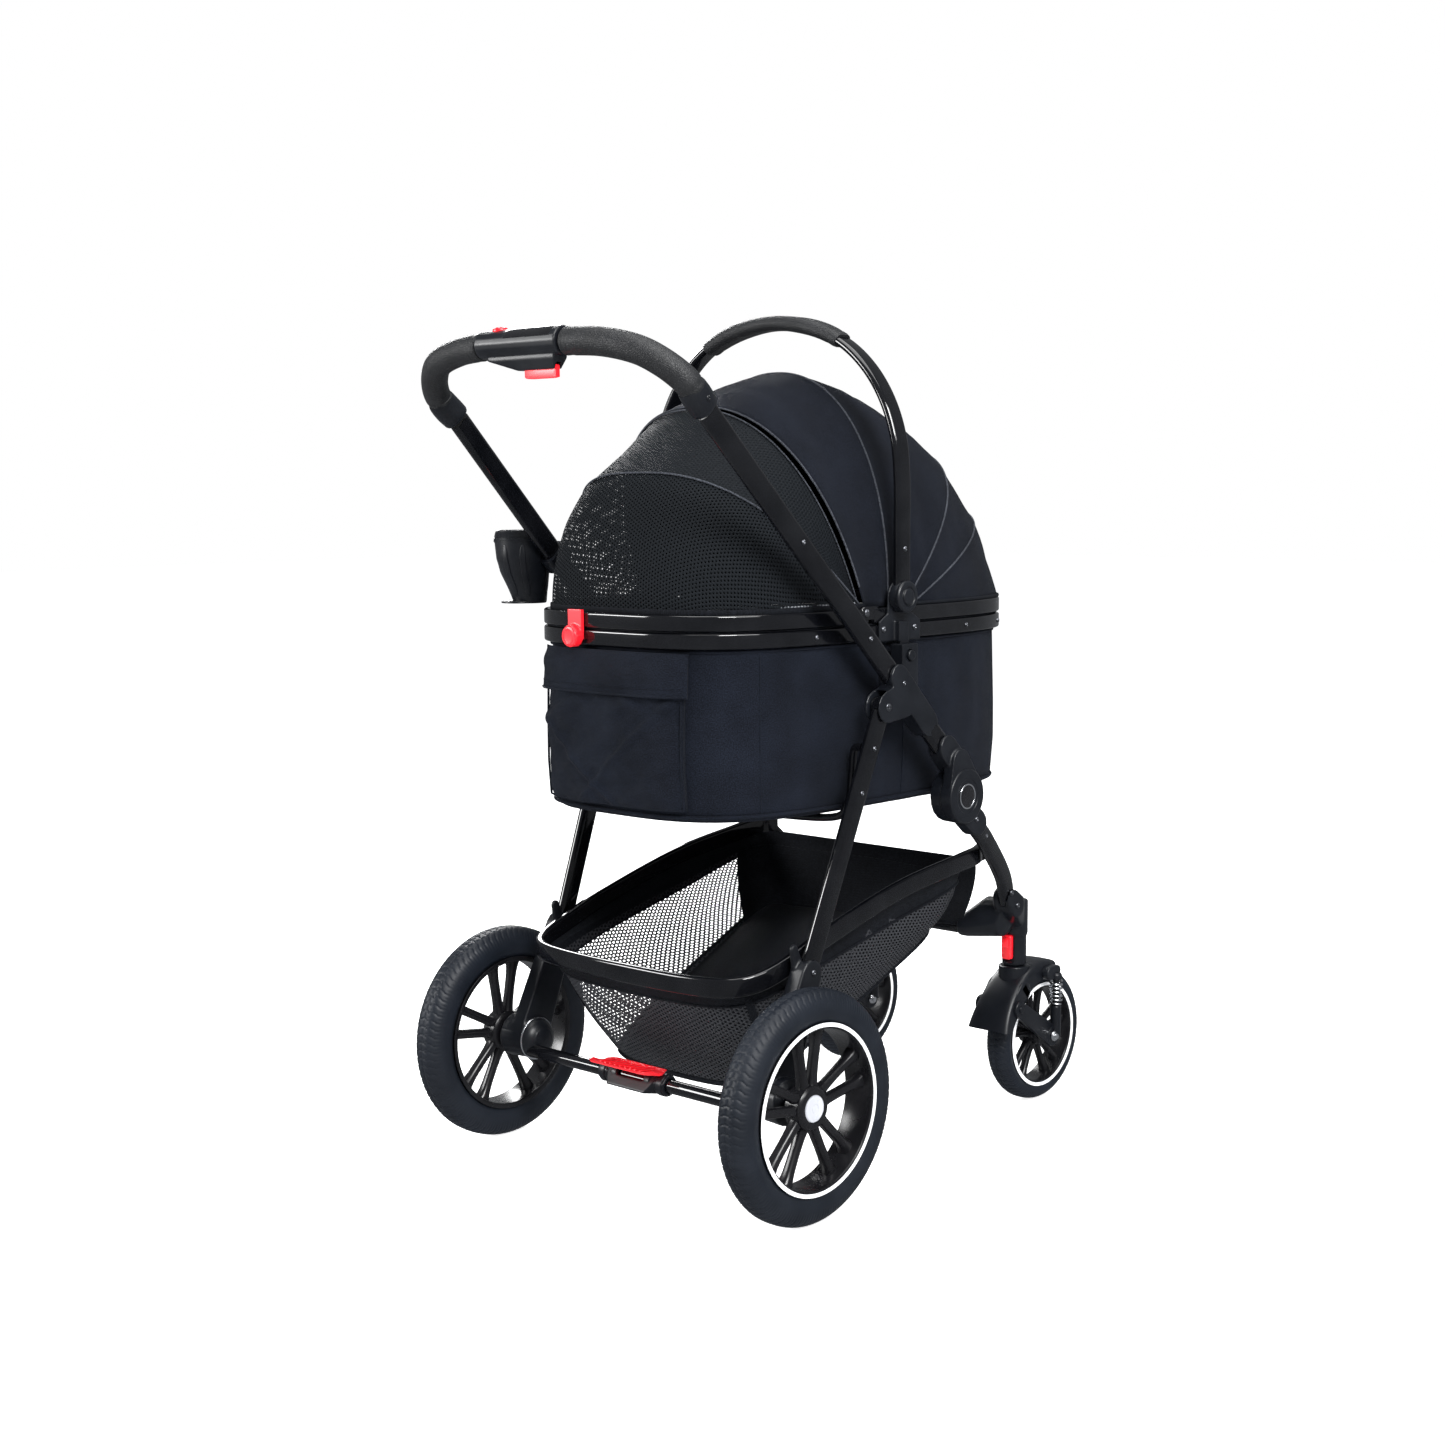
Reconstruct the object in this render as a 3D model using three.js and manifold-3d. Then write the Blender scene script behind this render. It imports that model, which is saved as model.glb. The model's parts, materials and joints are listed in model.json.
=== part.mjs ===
// Pet stroller with a lift-off carrier, a folding frame, sprung front casters and a storage basket.
// Units are millimetres and +Z is up. The pusher stands at +Y and looks along -Y; +X is the pusher's left.
// Inside the stroller group y = 0 is the rear axle and z = 0 is the ground.
import * as THREE from 'three';
import { mergeVertices } from 'three/addons/utils/BufferGeometryUtils.js';
import { ConvexGeometry } from 'three/addons/geometries/ConvexGeometry.js';
import Module from 'manifold-3d';

const wasm = await Module();
wasm.setup();

// ---------- driving dimensions ----------
const GAP = 0.3; // clearance between touching pieces
const LOOSE_GAP = 0.6; // clearance where a curved leg runs through a moulding
const ORIGIN_Y = 259; // the rear axle lies this far behind the middle of the stroller's box

const REAR_WHEEL = { x: 277, y: 0, z: 145, radius: 145, seat: 104, width: 47 };
const FRONT_WHEEL = { x: 169, y: -628, z: 96.5, radius: 96.5, seat: 74, width: 38 };
const CASTER_Y = -580; // swivel axis of the front casters
const FORK_TOP = 204; // swivel face between fork and caster post

const TUBE = { thick: 16, wide: 30 }; // flat oval main tube
const TUBE_TOP = [219.6, 104, 975];
const TUBE_END = [245.3, -327.6, 530];
const GRIP_RADIUS = 17;
const HANDLE_TUBE_RADIUS = 11;
const HANDLE_BAR = [185, 1060]; // y, z of the middle of the handle bar

const HINGE = [-338, 484]; // y, z of the frame's fold axis
const LEG_PIVOT = [-190, 612]; // y, z of the rear leg's pivot on the main tube
const RAIL_PIVOT = [-62, 290]; // y, z of the basket rail's pivot on the rear leg
const DISC_RADIUS = 35.5;

const RIM = { a: 206.8, b: 328, y: -267, power: 3.54, wall: 11 };
const LOWER_RIM = [692, 712];
const UPPER_RIM = [714, 734];
const TUB = { top: 691.7, floor: 478, wall: 4 };
const CANOPY = { a: 198, y: -266, z: 734.4, wall: 3.2, step: 5.5 };
const CANOPY_REACH = [311, 311, 298, 303, 305, 313, 331]; // hoop reach at 0, 30, 60 ... 180 degrees from the rear
const DOOR_PIVOT = [-202, 728]; // y, z of the rear door's pivot
const ARCH = { x: 216, y: -260, z: 747, top: 1104, thick: 10, wide: 24 };

// ---------- colours ----------
const finishes = {
  gloss: [0x0b0b0d, 0.22, 0.6],
  plastic: [0x141416, 0.55, 0],
  grip: [0x1a1a1c, 0.75, 0],
  fabric: [0x16171c, 0.9, 0],
  mesh: [0x202226, 0.95, 0],
  rubber: [0x2b2d31, 0.85, 0],
  rim: [0x101012, 0.4, 0.1],
  red: [0xe0222e, 0.4, 0],
  chrome: [0xd5d7da, 0.2, 1],
};

// ---------- solids ----------
// Gives a closed geometry with shared vertices, no collapsed triangles and its faces pointing out.
function tidy(geometry) {
  const bare = geometry.clone();
  bare.deleteAttribute('normal');
  bare.deleteAttribute('uv');
  const merged = mergeVertices(bare, 1e-3);
  const index = merged.index.array;
  const p = merged.attributes.position;
  const kept = [];
  let volume = 0;
  for (let i = 0; i < index.length; i += 3) {
    const [a, b, c] = index.slice(i, i + 3);
    if (a === b || b === c || a === c) continue;
    kept.push(a, b, c);
    const [u, v, w] = [a, b, c].map((k) => new THREE.Vector3().fromBufferAttribute(p, k));
    volume += u.dot(v.cross(w));
  }
  if (volume < 0) kept.reverse();
  merged.setIndex(kept);
  return merged;
}

function solidOf(geometry) {
  const g = tidy(geometry);
  const vertProperties = new Float32Array(g.attributes.position.array);
  const triVerts = new Uint32Array(g.index.array);
  return new wasm.Manifold(new wasm.Mesh({ numProp: 3, vertProperties, triVerts }));
}

function geometryOf(solid) {
  const mesh = solid.getMesh();
  const geometry = new THREE.BufferGeometry();
  geometry.setAttribute('position', new THREE.BufferAttribute(new Float32Array(mesh.vertProperties), 3));
  geometry.setIndex(Array.from(mesh.triVerts));
  return geometry;
}

function join(...geometries) {
  return geometryOf(geometries.map(solidOf).reduce((a, b) => a.add(b)));
}

function cut(geometry, ...tools) {
  return geometryOf(tools.map(solidOf).reduce((a, b) => a.subtract(b), solidOf(geometry)));
}

function common(a, b) {
  return geometryOf(solidOf(a).intersect(solidOf(b)));
}

function mirrored(geometry, side) {
  return tidy(geometry.clone().scale(side, 1, 1));
}

function box(low, high) {
  const size = high.map((h, i) => h - low[i]);
  const g = new THREE.BoxGeometry(...size);
  return g.translate(...high.map((h, i) => (h + low[i]) / 2));
}

// A cylinder between two x values, two y values or two z values.
function rod(axis, from, to, across, radius, sides = 10) {
  const g = new THREE.CylinderGeometry(radius, radius, Math.abs(to - from), sides);
  const middle = (from + to) / 2;
  if (axis === 'x') return g.rotateZ(Math.PI / 2).translate(middle, across[0], across[1]);
  if (axis === 'y') return g.translate(across[0], middle, across[1]);
  return g.rotateX(Math.PI / 2).translate(across[0], across[1], middle);
}

// Turns a closed outline of [x, radius] points about the X axis.
function turned(outline, sides) {
  const points = [...outline, outline[0]].map(([x, r]) => new THREE.Vector2(r, x));
  return new THREE.LatheGeometry(points, sides).rotateZ(-Math.PI / 2);
}

// Extrudes a side-view outline (y, z) from one x to another.
function plate(shape, x0, x1, curveSegments = 3) {
  const depth = Math.abs(x1 - x0);
  const g = new THREE.ExtrudeGeometry(shape, { depth, bevelEnabled: false, curveSegments });
  const turn = new THREE.Matrix4().set(0, 0, 1, Math.min(x0, x1), 1, 0, 0, 0, 0, 1, 0, 0, 0, 0, 0, 1);
  return g.applyMatrix4(turn);
}

// A side-view outline of two circles joined by their outer tangents.
function link(a, ra, b, rb) {
  const dy = b[0] - a[0];
  const dz = b[1] - a[1];
  const lean = Math.acos((ra - rb) / Math.hypot(dy, dz));
  const along = Math.atan2(dz, dy);
  const shape = new THREE.Shape();
  shape.absarc(a[0], a[1], ra, along + lean, along - lean + 2 * Math.PI, false);
  shape.absarc(b[0], b[1], rb, along - lean, along + lean, false);
  return shape;
}

function polygon(points) {
  return new THREE.Shape(points.map(([u, v]) => new THREE.Vector2(u, v)));
}

function hull(...geometries) {
  const points = geometries.flatMap((g) => {
    const p = g.attributes.position;
    return Array.from({ length: p.count }, (_, i) => new THREE.Vector3().fromBufferAttribute(p, i));
  });
  return new ConvexGeometry(points);
}

// A stadium section, thick along x and wide along y, optionally grown all round.
function stadium(thick, wide, grow = 0) {
  const r = thick / 2 + grow;
  const h = wide / 2 - thick / 2;
  const shape = new THREE.Shape();
  shape.absarc(0, h, r, 0, Math.PI, false);
  shape.absarc(0, -h, r, Math.PI, 2 * Math.PI, false);
  return shape;
}

// The same section lying the other way, for a bow that starts straight up.
function lyingStadium(thick, wide) {
  const r = thick / 2;
  const h = wide / 2 - r;
  const shape = new THREE.Shape();
  shape.absarc(h, 0, r, -Math.PI / 2, Math.PI / 2, false);
  shape.absarc(-h, 0, r, Math.PI / 2, 1.5 * Math.PI, false);
  return shape;
}

function disc(radius) {
  return new THREE.Shape().absarc(0, 0, radius, 0, 2 * Math.PI, false);
}

function tube(curve, shape, steps, curveSegments = 3) {
  return new THREE.ExtrudeGeometry(shape, { extrudePath: curve, steps, curveSegments });
}

function spline(points, tension = 0.5) {
  return new THREE.CatmullRomCurve3(points.map((p) => new THREE.Vector3(...p)), false, 'catmullrom', tension);
}

function straight(a, b) {
  return new THREE.LineCurve3(new THREE.Vector3(...a), new THREE.Vector3(...b));
}

function mix(a, b, t) {
  return a.map((v, i) => v + (b[i] - v) * t);
}

// One corner of a superellipse, as [x, y] of a unit-power curve at an angle.
function superellipse(angle, a, b, power) {
  const c = Math.cos(angle);
  const s = Math.sin(angle);
  return [
    a * Math.sign(c) * Math.abs(c) ** (2 / power),
    b * Math.sign(s) * Math.abs(s) ** (2 / power),
  ];
}

// Angles that space the points of a superellipse evenly enough round its corners.
function spacedAngles(count) {
  const angles = [];
  for (let i = 0; i < count; i += 1) {
    const t = (i / count) * 2 * Math.PI;
    angles.push(t - 0.1 * Math.sin(4 * t));
  }
  return angles;
}

// Skins a stack of closed loops, capped flat at both ends.
function loft(loops) {
  const n = loops[0].length;
  const positions = loops.flat(2);
  const middle = (loop) => loop.reduce((m, p) => m.map((v, i) => v + p[i] / n), [0, 0, 0]);
  const bottom = loops.length * n;
  positions.push(...middle(loops[0]), ...middle(loops[loops.length - 1]));
  const index = [];
  for (let k = 0; k < loops.length - 1; k += 1) {
    for (let i = 0; i < n; i += 1) {
      const [a, b] = [k * n + i, k * n + ((i + 1) % n)];
      index.push(a, b, b + n, a, b + n, a + n);
    }
  }
  const last = (loops.length - 1) * n;
  for (let i = 0; i < n; i += 1) {
    const j = (i + 1) % n;
    index.push(bottom, j, i, bottom + 1, last + i, last + j);
  }
  const geometry = new THREE.BufferGeometry();
  geometry.setAttribute('position', new THREE.Float32BufferAttribute(positions, 3));
  geometry.setIndex(index);
  return tidy(geometry);
}

// ---------- the tree ----------
const stroller = new THREE.Group();
stroller.position.set(0, ORIGIN_Y, 0);

function add(name, geometry, finish) {
  const [color, roughness, metalness] = finishes[finish];
  const material = new THREE.MeshStandardMaterial({ color, roughness, metalness });
  const mesh = new THREE.Mesh(tidy(geometry), material);
  mesh.name = name;
  stroller.add(mesh);
}

// Adds a right and a left copy of a piece drawn on the +X side.
function addPair(name, geometry, finish) {
  add(`${name}_left`, mirrored(geometry, 1), finish);
  add(`${name}_right`, mirrored(geometry, -1), finish);
}

// ---------- upper frame: main tubes, handle, brackets ----------
function mainTube(grow = 0) {
  const end = grow ? mix(TUBE_TOP, TUBE_END, 1.0007) : TUBE_END;
  return tube(straight(TUBE_TOP, end), stadium(TUBE.thick, TUBE.wide, grow), 1, 4);
}

function handleCurve() {
  const half = [
    mix(TUBE_TOP, TUBE_END, -0.008),
    [222, 127, 996],
    [219, 141, 1011],
    [202, 157, 1029],
    [176, 170, 1044],
    [134, 177, 1054],
    [90, 181, 1058],
  ];
  const other = half.map(([x, y, z]) => [-x, y, z]).reverse();
  return spline([...half, [0, HANDLE_BAR[0], HANDLE_BAR[1]], ...other]);
}

function handle() {
  const curve = handleCurve();
  const steps = 22;
  add('handle_tube', tube(curve, disc(HANDLE_TUBE_RADIUS), steps, 5), 'gloss');
  const sleeve = disc(GRIP_RADIUS);
  sleeve.holes.push(new THREE.Path().absarc(0, 0, HANDLE_TUBE_RADIUS + GAP, 0, 2 * Math.PI, true));
  const grips = tube(curve, sleeve, steps, 5);
  for (const [side, x0, x1] of [['left', 74.3, 300], ['right', -300, -68.3]]) {
    add(`handle_grip_${side}`, common(grips, box([x0, 0, 900], [x1, 300, 1200])), 'grip');
  }
  const bore = tube(curve, disc(HANDLE_TUBE_RADIUS + GAP), steps, 5);
  const [y, z] = HANDLE_BAR;
  const shell = join(
    hull(rod('x', -68, 74, [y - 1, z], 17.4, 16), box([-62, y - 11, z - 16], [66, y + 7, z - 15])),
    hull(box([-60, y - 13, z - 20], [58, y + 9, z - 14]), box([-56, y - 7, z - 33], [8, y + 5, z - 29])),
  );
  const leverPocket = box([-58, y - 5, z - 44], [0, y + 3, z - 17]);
  const sliderPocket = box([30, y - 6, z + 13.4], [62, y + 4, z + 30]);
  add('handle_console', cut(shell, bore, leverPocket, sliderPocket), 'plastic');
  add('fold_lever', box([-56.5, y - 4.3, z - 42], [-1.5, y + 2.3, z - 26]), 'red');
  const knobs = [40, 48].map((x) => rod('z', z + 13.8, z + 20, [x, y - 1], 4.6));
  add('fold_slider', hull(...knobs), 'red');
}

function tubeBracket() {
  const upper = mix(TUBE_TOP, TUBE_END, (975 - 648) / 445).slice(1);
  const lower = mix(TUBE_TOP, TUBE_END, (975 - 584) / 445).slice(1);
  const clamp = plate(link(upper, 17, lower, 17), 227.5, 251.5);
  const lobe = plate(link([-226, 620], 24, LEG_PIVOT, 20), 227.5, 251.5);
  const legSlot = plate(link(LEG_PIVOT, 21, [-112, 480], 22), 231.2, 248.8);
  const fromTube = plate(link(upper, 19, lower, 19), 225, 260);
  const slot = cut(legSlot, fromTube);
  const pin = rod('x', 230, 250, LEG_PIVOT, 5, 14);
  return join(cut(join(clamp, lobe), mainTube(GAP), slot), pin, carrierMount());
}

function carrierMount() {
  const post = box([209, -278, 606], [229, -246, 687]);
  const prongSlot = box([212.4, -271, 640], [219.6, -253, 690]);
  const buttonHole = rod('x', 219, 230, [-262, 672], 7.6);
  return cut(post, prongSlot, buttonHole, mainTube(GAP));
}

function hingeSocket() {
  const top = mix(TUBE_TOP, TUBE_END, 0.955).slice(1);
  const low = mix(TUBE_TOP, TUBE_END, 1.0).slice(1);
  const sleeve = plate(link(top, 17, low, 17.5), 234, 257);
  const shoulder = plate(link(low, 17.5, HINGE, DISC_RADIUS), 247.2, 263, 6);
  const discRoom = rod('x', 220, 247.2, HINGE, DISC_RADIUS + 2, 16);
  return cut(join(cut(sleeve, discRoom), shoulder), mainTube(GAP));
}

function cupHolder() {
  const middle = [276, -50];
  const [low, high] = [733, 832];
  const outer = new THREE.CylinderGeometry(39, 25, high - low, 20).rotateX(Math.PI / 2);
  const inner = new THREE.CylinderGeometry(36.4, 22.4, high - low, 20).rotateX(Math.PI / 2);
  const cup = outer.translate(...middle, (low + high) / 2);
  const well = inner.translate(...middle, (low + high) / 2 + 3);
  const arm = box([231, -92, 786], [252, -56, 806]);
  const clamp = box([214, -88, 786], [241, -44, 806]);
  const foot = box([264, -28, 733], [288, -10, 736]);
  return cut(join(cup, arm, clamp, foot), well, mainTube(GAP));
}

// ---------- front frame: hinge discs, front legs, caster posts ----------
const FRONT_LEG = [[238, -366, 459], [229, -404, 433], [220, -441, 405], [204, -500, 351], [193, -527, 310]];

function frontLeg(grow = 0) {
  return tube(spline(FRONT_LEG), stadium(16, 28, grow), 7, 4);
}

function hingeDisc() {
  const arm = plate(link([-364, 460], 17.5, [-386, 441], 17), 228, 249);
  const web = plate(link(HINGE, DISC_RADIUS, [-364, 460], 18), 229.5, 246.9, 6);
  const room = rod('x', 246.9, 270, HINGE, DISC_RADIUS + 2, 16);
  return cut(join(web, cut(arm, room)), frontLeg(GAP));
}

function knuckle() {
  const post = rod('z', FORK_TOP + 1.6, 290, [169, CASTER_Y], 17.5, 16);
  const cap = rod('z', 250, 300, [169, CASTER_Y], 19.5, 16);
  const nose = hull(
    rod('z', 262, 303, [169, CASTER_Y + 4], 16, 12),
    rod('x', 178, 207, [-534, 302], 16, 12),
    rod('x', 180, 207, [-524, 314], 13, 12),
  );
  const wing = hull(
    rod('x', 150, 186, [-542, 288], 20, 12),
    rod('x', 118.4, 130, [-523, 264], 15, 12),
    rod('x', 140, 180, [-540, 275], 22, 12),
  );
  const bore = rod('z', 190, 252, [169, CASTER_Y], 8.2, 12);
  const lockSlot = box([160.5, CASTER_Y + 12.6, 210], [177.5, CASTER_Y + 30, 252]);
  return cut(join(post, cap, nose, wing), frontLeg(LOOSE_GAP), bore, lockSlot);
}

function casterLock() {
  const y = CASTER_Y + 13;
  return join(box([161, y, 215], [177, y + 8, 251]), box([163, y + 8, 232], [175, y + 11, 247]));
}

// ---------- casters ----------
const ARM_PIVOT = [-547, 150];
const WHEEL_CENTRE = [FRONT_WHEEL.y, FRONT_WHEEL.z];

function sector(inner, outer, from, to) {
  const [y, z] = WHEEL_CENTRE;
  const shape = new THREE.Shape();
  shape.absarc(y, z, outer, from, to, false);
  shape.absarc(y, z, inner, to, from, true);
  return shape;
}

function casterFork() {
  const rad = THREE.MathUtils.degToRad;
  const blank = plate(sector(84, 112.5, rad(17), rad(103)), 141, 197, 5);
  const room = plate(sector(60, 105, rad(5), rad(120)), 145.3, 192.7, 6);
  const collar = rod('z', 186, FORK_TOP, [169, CASTER_Y], 21.5, 14);
  const wheelRoom = rod('x', 145.3, 192.7, WHEEL_CENTRE, 105, 24);
  const stem = rod('z', 196, 244, [169, CASTER_Y], 7.8, 12);
  const parts = [cut(blank, room), cut(collar, wheelRoom), stem];
  for (const [x0, x1] of [[130, 142], [196, 208]]) {
    parts.push(rod('x', x0, x1, ARM_PIVOT, 5, 12));
    parts.push(plate(link([-634, 192], 8, [-618, 190], 9), x0, x1));
  }
  const cheek = link(ARM_PIVOT, 12, [-560, 178], 14);
  parts.push(plate(cheek, 141, 145.3), plate(cheek, 192.7, 197));
  return join(...parts);
}

function swingArm() {
  const side = link(ARM_PIVOT, 11, WHEEL_CENTRE, 14);
  const parts = [rod('x', 132, 206, WHEEL_CENTRE, 6, 12)];
  for (const [x0, x1, x] of [[133, 139.6, 134.5], [198.4, 205, 203.5]]) {
    const hole = rod('x', x0 - 2, x1 + 2, ARM_PIVOT, 5.3, 12);
    parts.push(cut(plate(side, x0, x1), hole));
    parts.push(rod('z', WHEEL_CENTRE[1], 141, [x, -634], 5.6, 12));
  }
  return join(...parts);
}

function strutSpring() {
  const outline = [[142, 5], [142, 8], [179, 8], [179, 5]];
  return turned(outline, 12).rotateY(-Math.PI / 2).translate(203.5, -634, 0);
}

// ---------- wheels ----------
function tyreOutline({ radius, seat, width }) {
  const w = width / 2;
  const h = radius - seat;
  return [
    [-w * 0.76, seat],
    [-w, seat + h * 0.38],
    [-w * 0.8, seat + h * 0.8],
    [-w * 0.3, radius],
    [w * 0.3, radius],
    [w * 0.8, seat + h * 0.8],
    [w, seat + h * 0.38],
    [w * 0.76, seat],
  ];
}

// A rim whose five pairs of spokes leave the hub together and part towards the rim.
function spokedRim({ seat, width, hub, hubIn, hubOut, lip, spokeThick, spokeWide, bore, boreIn, boreOut, sides }) {
  const w = width / 2;
  const barrel = turned([
    [-w * 0.76, seat - GAP],
    [w * 0.76, seat - GAP],
    [w * 0.86, lip],
    [w * 0.94, lip],
    [w * 0.94, seat - 5.5],
    [-w * 0.76, seat - 6.5],
  ], sides);
  const parts = [barrel, rod('x', hubIn, hubOut, [0, 0], hub, 14)];
  const reach = seat - 4;
  for (let i = 0; i < 5; i += 1) {
    for (const lean of [-1, 1]) {
      const root = box([-spokeThick / 2, -spokeWide / 2, hub * 0.6], [spokeThick / 2, spokeWide / 2, hub * 0.7]);
      const tip = box([-spokeThick / 2, -spokeWide / 2, reach - 1], [spokeThick / 2, spokeWide / 2, reach]);
      const spoke = hull(root.translate(0, lean * hub * 0.22, 0), tip.translate(0, lean * reach * 0.2, 0));
      parts.push(spoke.rotateX((i / 5) * 2 * Math.PI));
    }
  }
  return cut(join(...parts), rod('x', boreIn, boreOut, [0, 0], bore, 12));
}

function wheels() {
  const rear = spokedRim({
    ...REAR_WHEEL, hub: 28, hubIn: -14, hubOut: 13, lip: 106.6, spokeThick: 14, spokeWide: 11,
    bore: 6.3, boreIn: -20, boreOut: 8, sides: 26,
  });
  const front = spokedRim({
    ...FRONT_WHEEL, hub: 17, hubIn: -17, hubOut: 17, lip: 76.7, spokeThick: 11, spokeWide: 8,
    bore: 6.3, boreIn: -30, boreOut: 30, sides: 20,
  });
  const rearTyre = turned(tyreOutline(REAR_WHEEL), 26);
  const frontTyre = turned(tyreOutline(FRONT_WHEEL), 20);
  for (const [name, geometry, wheel, finish] of [
    ['rear_tyre', rearTyre, REAR_WHEEL, 'rubber'],
    ['rear_rim', rear, REAR_WHEEL, 'rim'],
    ['front_tyre', frontTyre, FRONT_WHEEL, 'rubber'],
    ['front_rim', front, FRONT_WHEEL, 'rim'],
  ]) {
    addPair(name, geometry.clone().translate(wheel.x, wheel.y, wheel.z), finish);
  }
}

// ---------- rear frame: legs, hubs, axle, brake ----------
const LEG_TOP = [240, ...LEG_PIVOT];
const LEG_FOOT = [223.5, -66, 292];

function rearLeg(grow = 0) {
  const from = grow ? LEG_TOP : mix(LEG_TOP, LEG_FOOT, 0.012);
  return tube(straight(from, LEG_FOOT), stadium(14, 28, grow), 1, 4);
}

function rearLegWithEye() {
  const eye = rod('x', 232.4, 247.6, LEG_PIVOT, 14.5);
  return cut(join(rearLeg(), eye), rod('x', 225, 255, LEG_PIVOT, 5.3));
}

function rearHub() {
  const housing = turned([
    [190, 0.01], [193, 16], [203, 27], [250, 30], [256, 21], [256.5, 6], [285, 6], [285, 0.01],
  ], 16).translate(0, 0, REAR_WHEEL.z);
  const foot = plate(link([0, 147], 27, RAIL_PIVOT, 18.5), 212, 235);
  const ear = plate(link([-52, 300], 9, [-46, 322], 6), 214, 220, 5);
  const axleSocket = rod('x', 180, 204, [14, 132], 9.3, 16);
  return cut(join(housing, foot, ear), rearLeg(GAP), axleSocket);
}

function supportBar() {
  const half = [[228.5, -166, 562], [214, -167, 558], [206, -172, 525], [204, -165, 488], [180, -150, 470]];
  const other = half.map(([x, y, z]) => [-x, y, z]).reverse();
  return tube(spline([...half, [0, -138, 468], ...other]), disc(5), 18, 4);
}

function axleAndBrake() {
  const spot = [14, 132];
  add('axle_tube', rod('x', -203.5, 203.5, spot, 9, 16), 'gloss');
  const clampCut = rod('x', -80, 80, spot, 9 + GAP, 16);
  const housing = join(
    hull(rod('x', -42, 42, spot, 13.6), box([-34, 6, 122], [34, 36, 124])),
    rod('x', -60, -44, spot, 13.6),
    rod('x', 44, 60, spot, 13.6),
    rod('x', -60, 60, spot, 12),
  );
  const pedalRoom = box([-24, 8, 135], [24, 60, 160]);
  add('brake_housing', cut(housing, clampCut, pedalRoom), 'plastic');
  const tread = polygon([[8, 148.6], [14, 146.4], [30, 146], [54, 152], [56, 156], [48, 157.5], [26, 151.8], [12, 152]]);
  const neck = polygon([[10, 142.2], [20, 142.2], [22, 148], [10, 149]]);
  add('brake_pedal', join(plate(tread, -55, 50), plate(neck, -20, 20)), 'red');
}

// ---------- basket ----------
function railCurve() {
  const half = [
    [203, -440, 384], [203, -395, 379], [203, -266, 360], [203, -122, 322],
    [202, -56, 299], [194, -6, 284], [168, 24, 278], [110, 37, 276],
  ];
  const other = half.map(([x, y, z]) => [-x, y, z]).reverse();
  return spline([...half, [0, 42, 276], ...other]);
}

function basketRail() {
  return tube(railCurve(), stadium(11, 25), 28, 2);
}

// A level ring of the basket bag: top and bottom outlines with a belly between.
function bagLoop(t, inset) {
  const topHalf = [[188, -420], [190, -266], [188, -122], [186, -56], [176, -12], [150, 12], [100, 24], [0, 28]];
  const lowHalf = [[146, -398], [150, -300], [146, -200], [136, -130], [126, -92], [110, -74], [70, -64], [0, -60]];
  const topZ = (y) => (y < -122 ? 300 + (-122 - y) * 0.21 : 300 - (y + 122) * 0.24);
  const lowZ = (y) => 116 + Math.max(0, -62 - y) * 0.47;
  const ring = [];
  topHalf.forEach(([x, y], i) => {
    const [u, v] = lowHalf[i];
    const bulge = Math.sin(Math.PI * t) * 12;
    const px = x + (u - x) * t + (x > 0 ? bulge : 0) - (x > 0 ? inset : 0);
    const py = y + (v - y) * t + (i > 4 ? -inset : 0) + (i === 0 ? inset : 0);
    ring.push([px, py, topZ(y) + (lowZ(v) - topZ(y)) * t]);
  });
  const front = [[95, -436], [0, -440]].map(([x, y]) => {
    const v = -410 + (x === 0 ? -4 : 0);
    return [x, y + (v - y) * t + inset, topZ(y) + (lowZ(v) - topZ(y)) * t];
  });
  const half = [front[0], ...ring];
  const other = half.filter(([x]) => x > 0.01).map(([x, y, z]) => [-x, y, z]).reverse();
  return [...half, ...other, front[1]];
}

function basketBag() {
  const levels = [0, 0.25, 0.5, 0.75, 0.94, 1];
  const squeeze = (t) => (t === 1 ? 10 : 0);
  const outer = loft(levels.map((t) => bagLoop(t, squeeze(t))));
  const inner = loft(levels.map((t) => bagLoop(t, 3 + squeeze(t)).map(([x, y, z]) => [x, y, z + 3])));
  return cut(outer, inner);
}

// ---------- carrier ----------
function plan(grow, z, count = 36) {
  const { a, b, y, power } = RIM;
  return spacedAngles(count).map((t) => {
    const [u, v] = superellipse(t, a + grow, b + grow, power);
    return [u, y + v, z];
  });
}

function ring([z0, z1]) {
  const outer = loft([plan(0, z0), plan(0, z1)]);
  const inner = loft([plan(-RIM.wall, z0 - 1), plan(-RIM.wall, z1 + 1)]);
  return cut(outer, inner);
}

function tubLoops(inset, floor) {
  const { top } = TUB;
  return [
    plan(-22 - inset, floor, 24), plan(-13 - inset, floor + 8, 24),
    plan(-9 - inset, 590, 24), plan(-10 - inset, top + (inset ? 1 : 0), 24),
  ];
}

function tub() {
  const outer = loft(tubLoops(0, TUB.floor));
  const inner = loft(tubLoops(TUB.wall, TUB.floor + TUB.wall));
  const pocket = hull(
    box([-152, 30, 500], [102, 60, 505]),
    box([-150, 30, 540], [100, 68, 640]),
    box([-150, 30, 672], [100, 58, 674]),
  );
  const flap = box([-154, 30, 664], [104, 65, 684]);
  const bulge = hull(box([-70, -596, 560], [70, -560, 660]), box([-90, -590, 530], [90, -560, 680]));
  return cut(join(outer, pocket, flap, bulge), inner);
}

function floorCushion() {
  const z = TUB.floor + TUB.wall + 0.6;
  return loft([plan(-34, z, 24), plan(-30, z + 8, 24), plan(-30, z + 20, 24), plan(-40, z + 27, 24)]);
}

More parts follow.
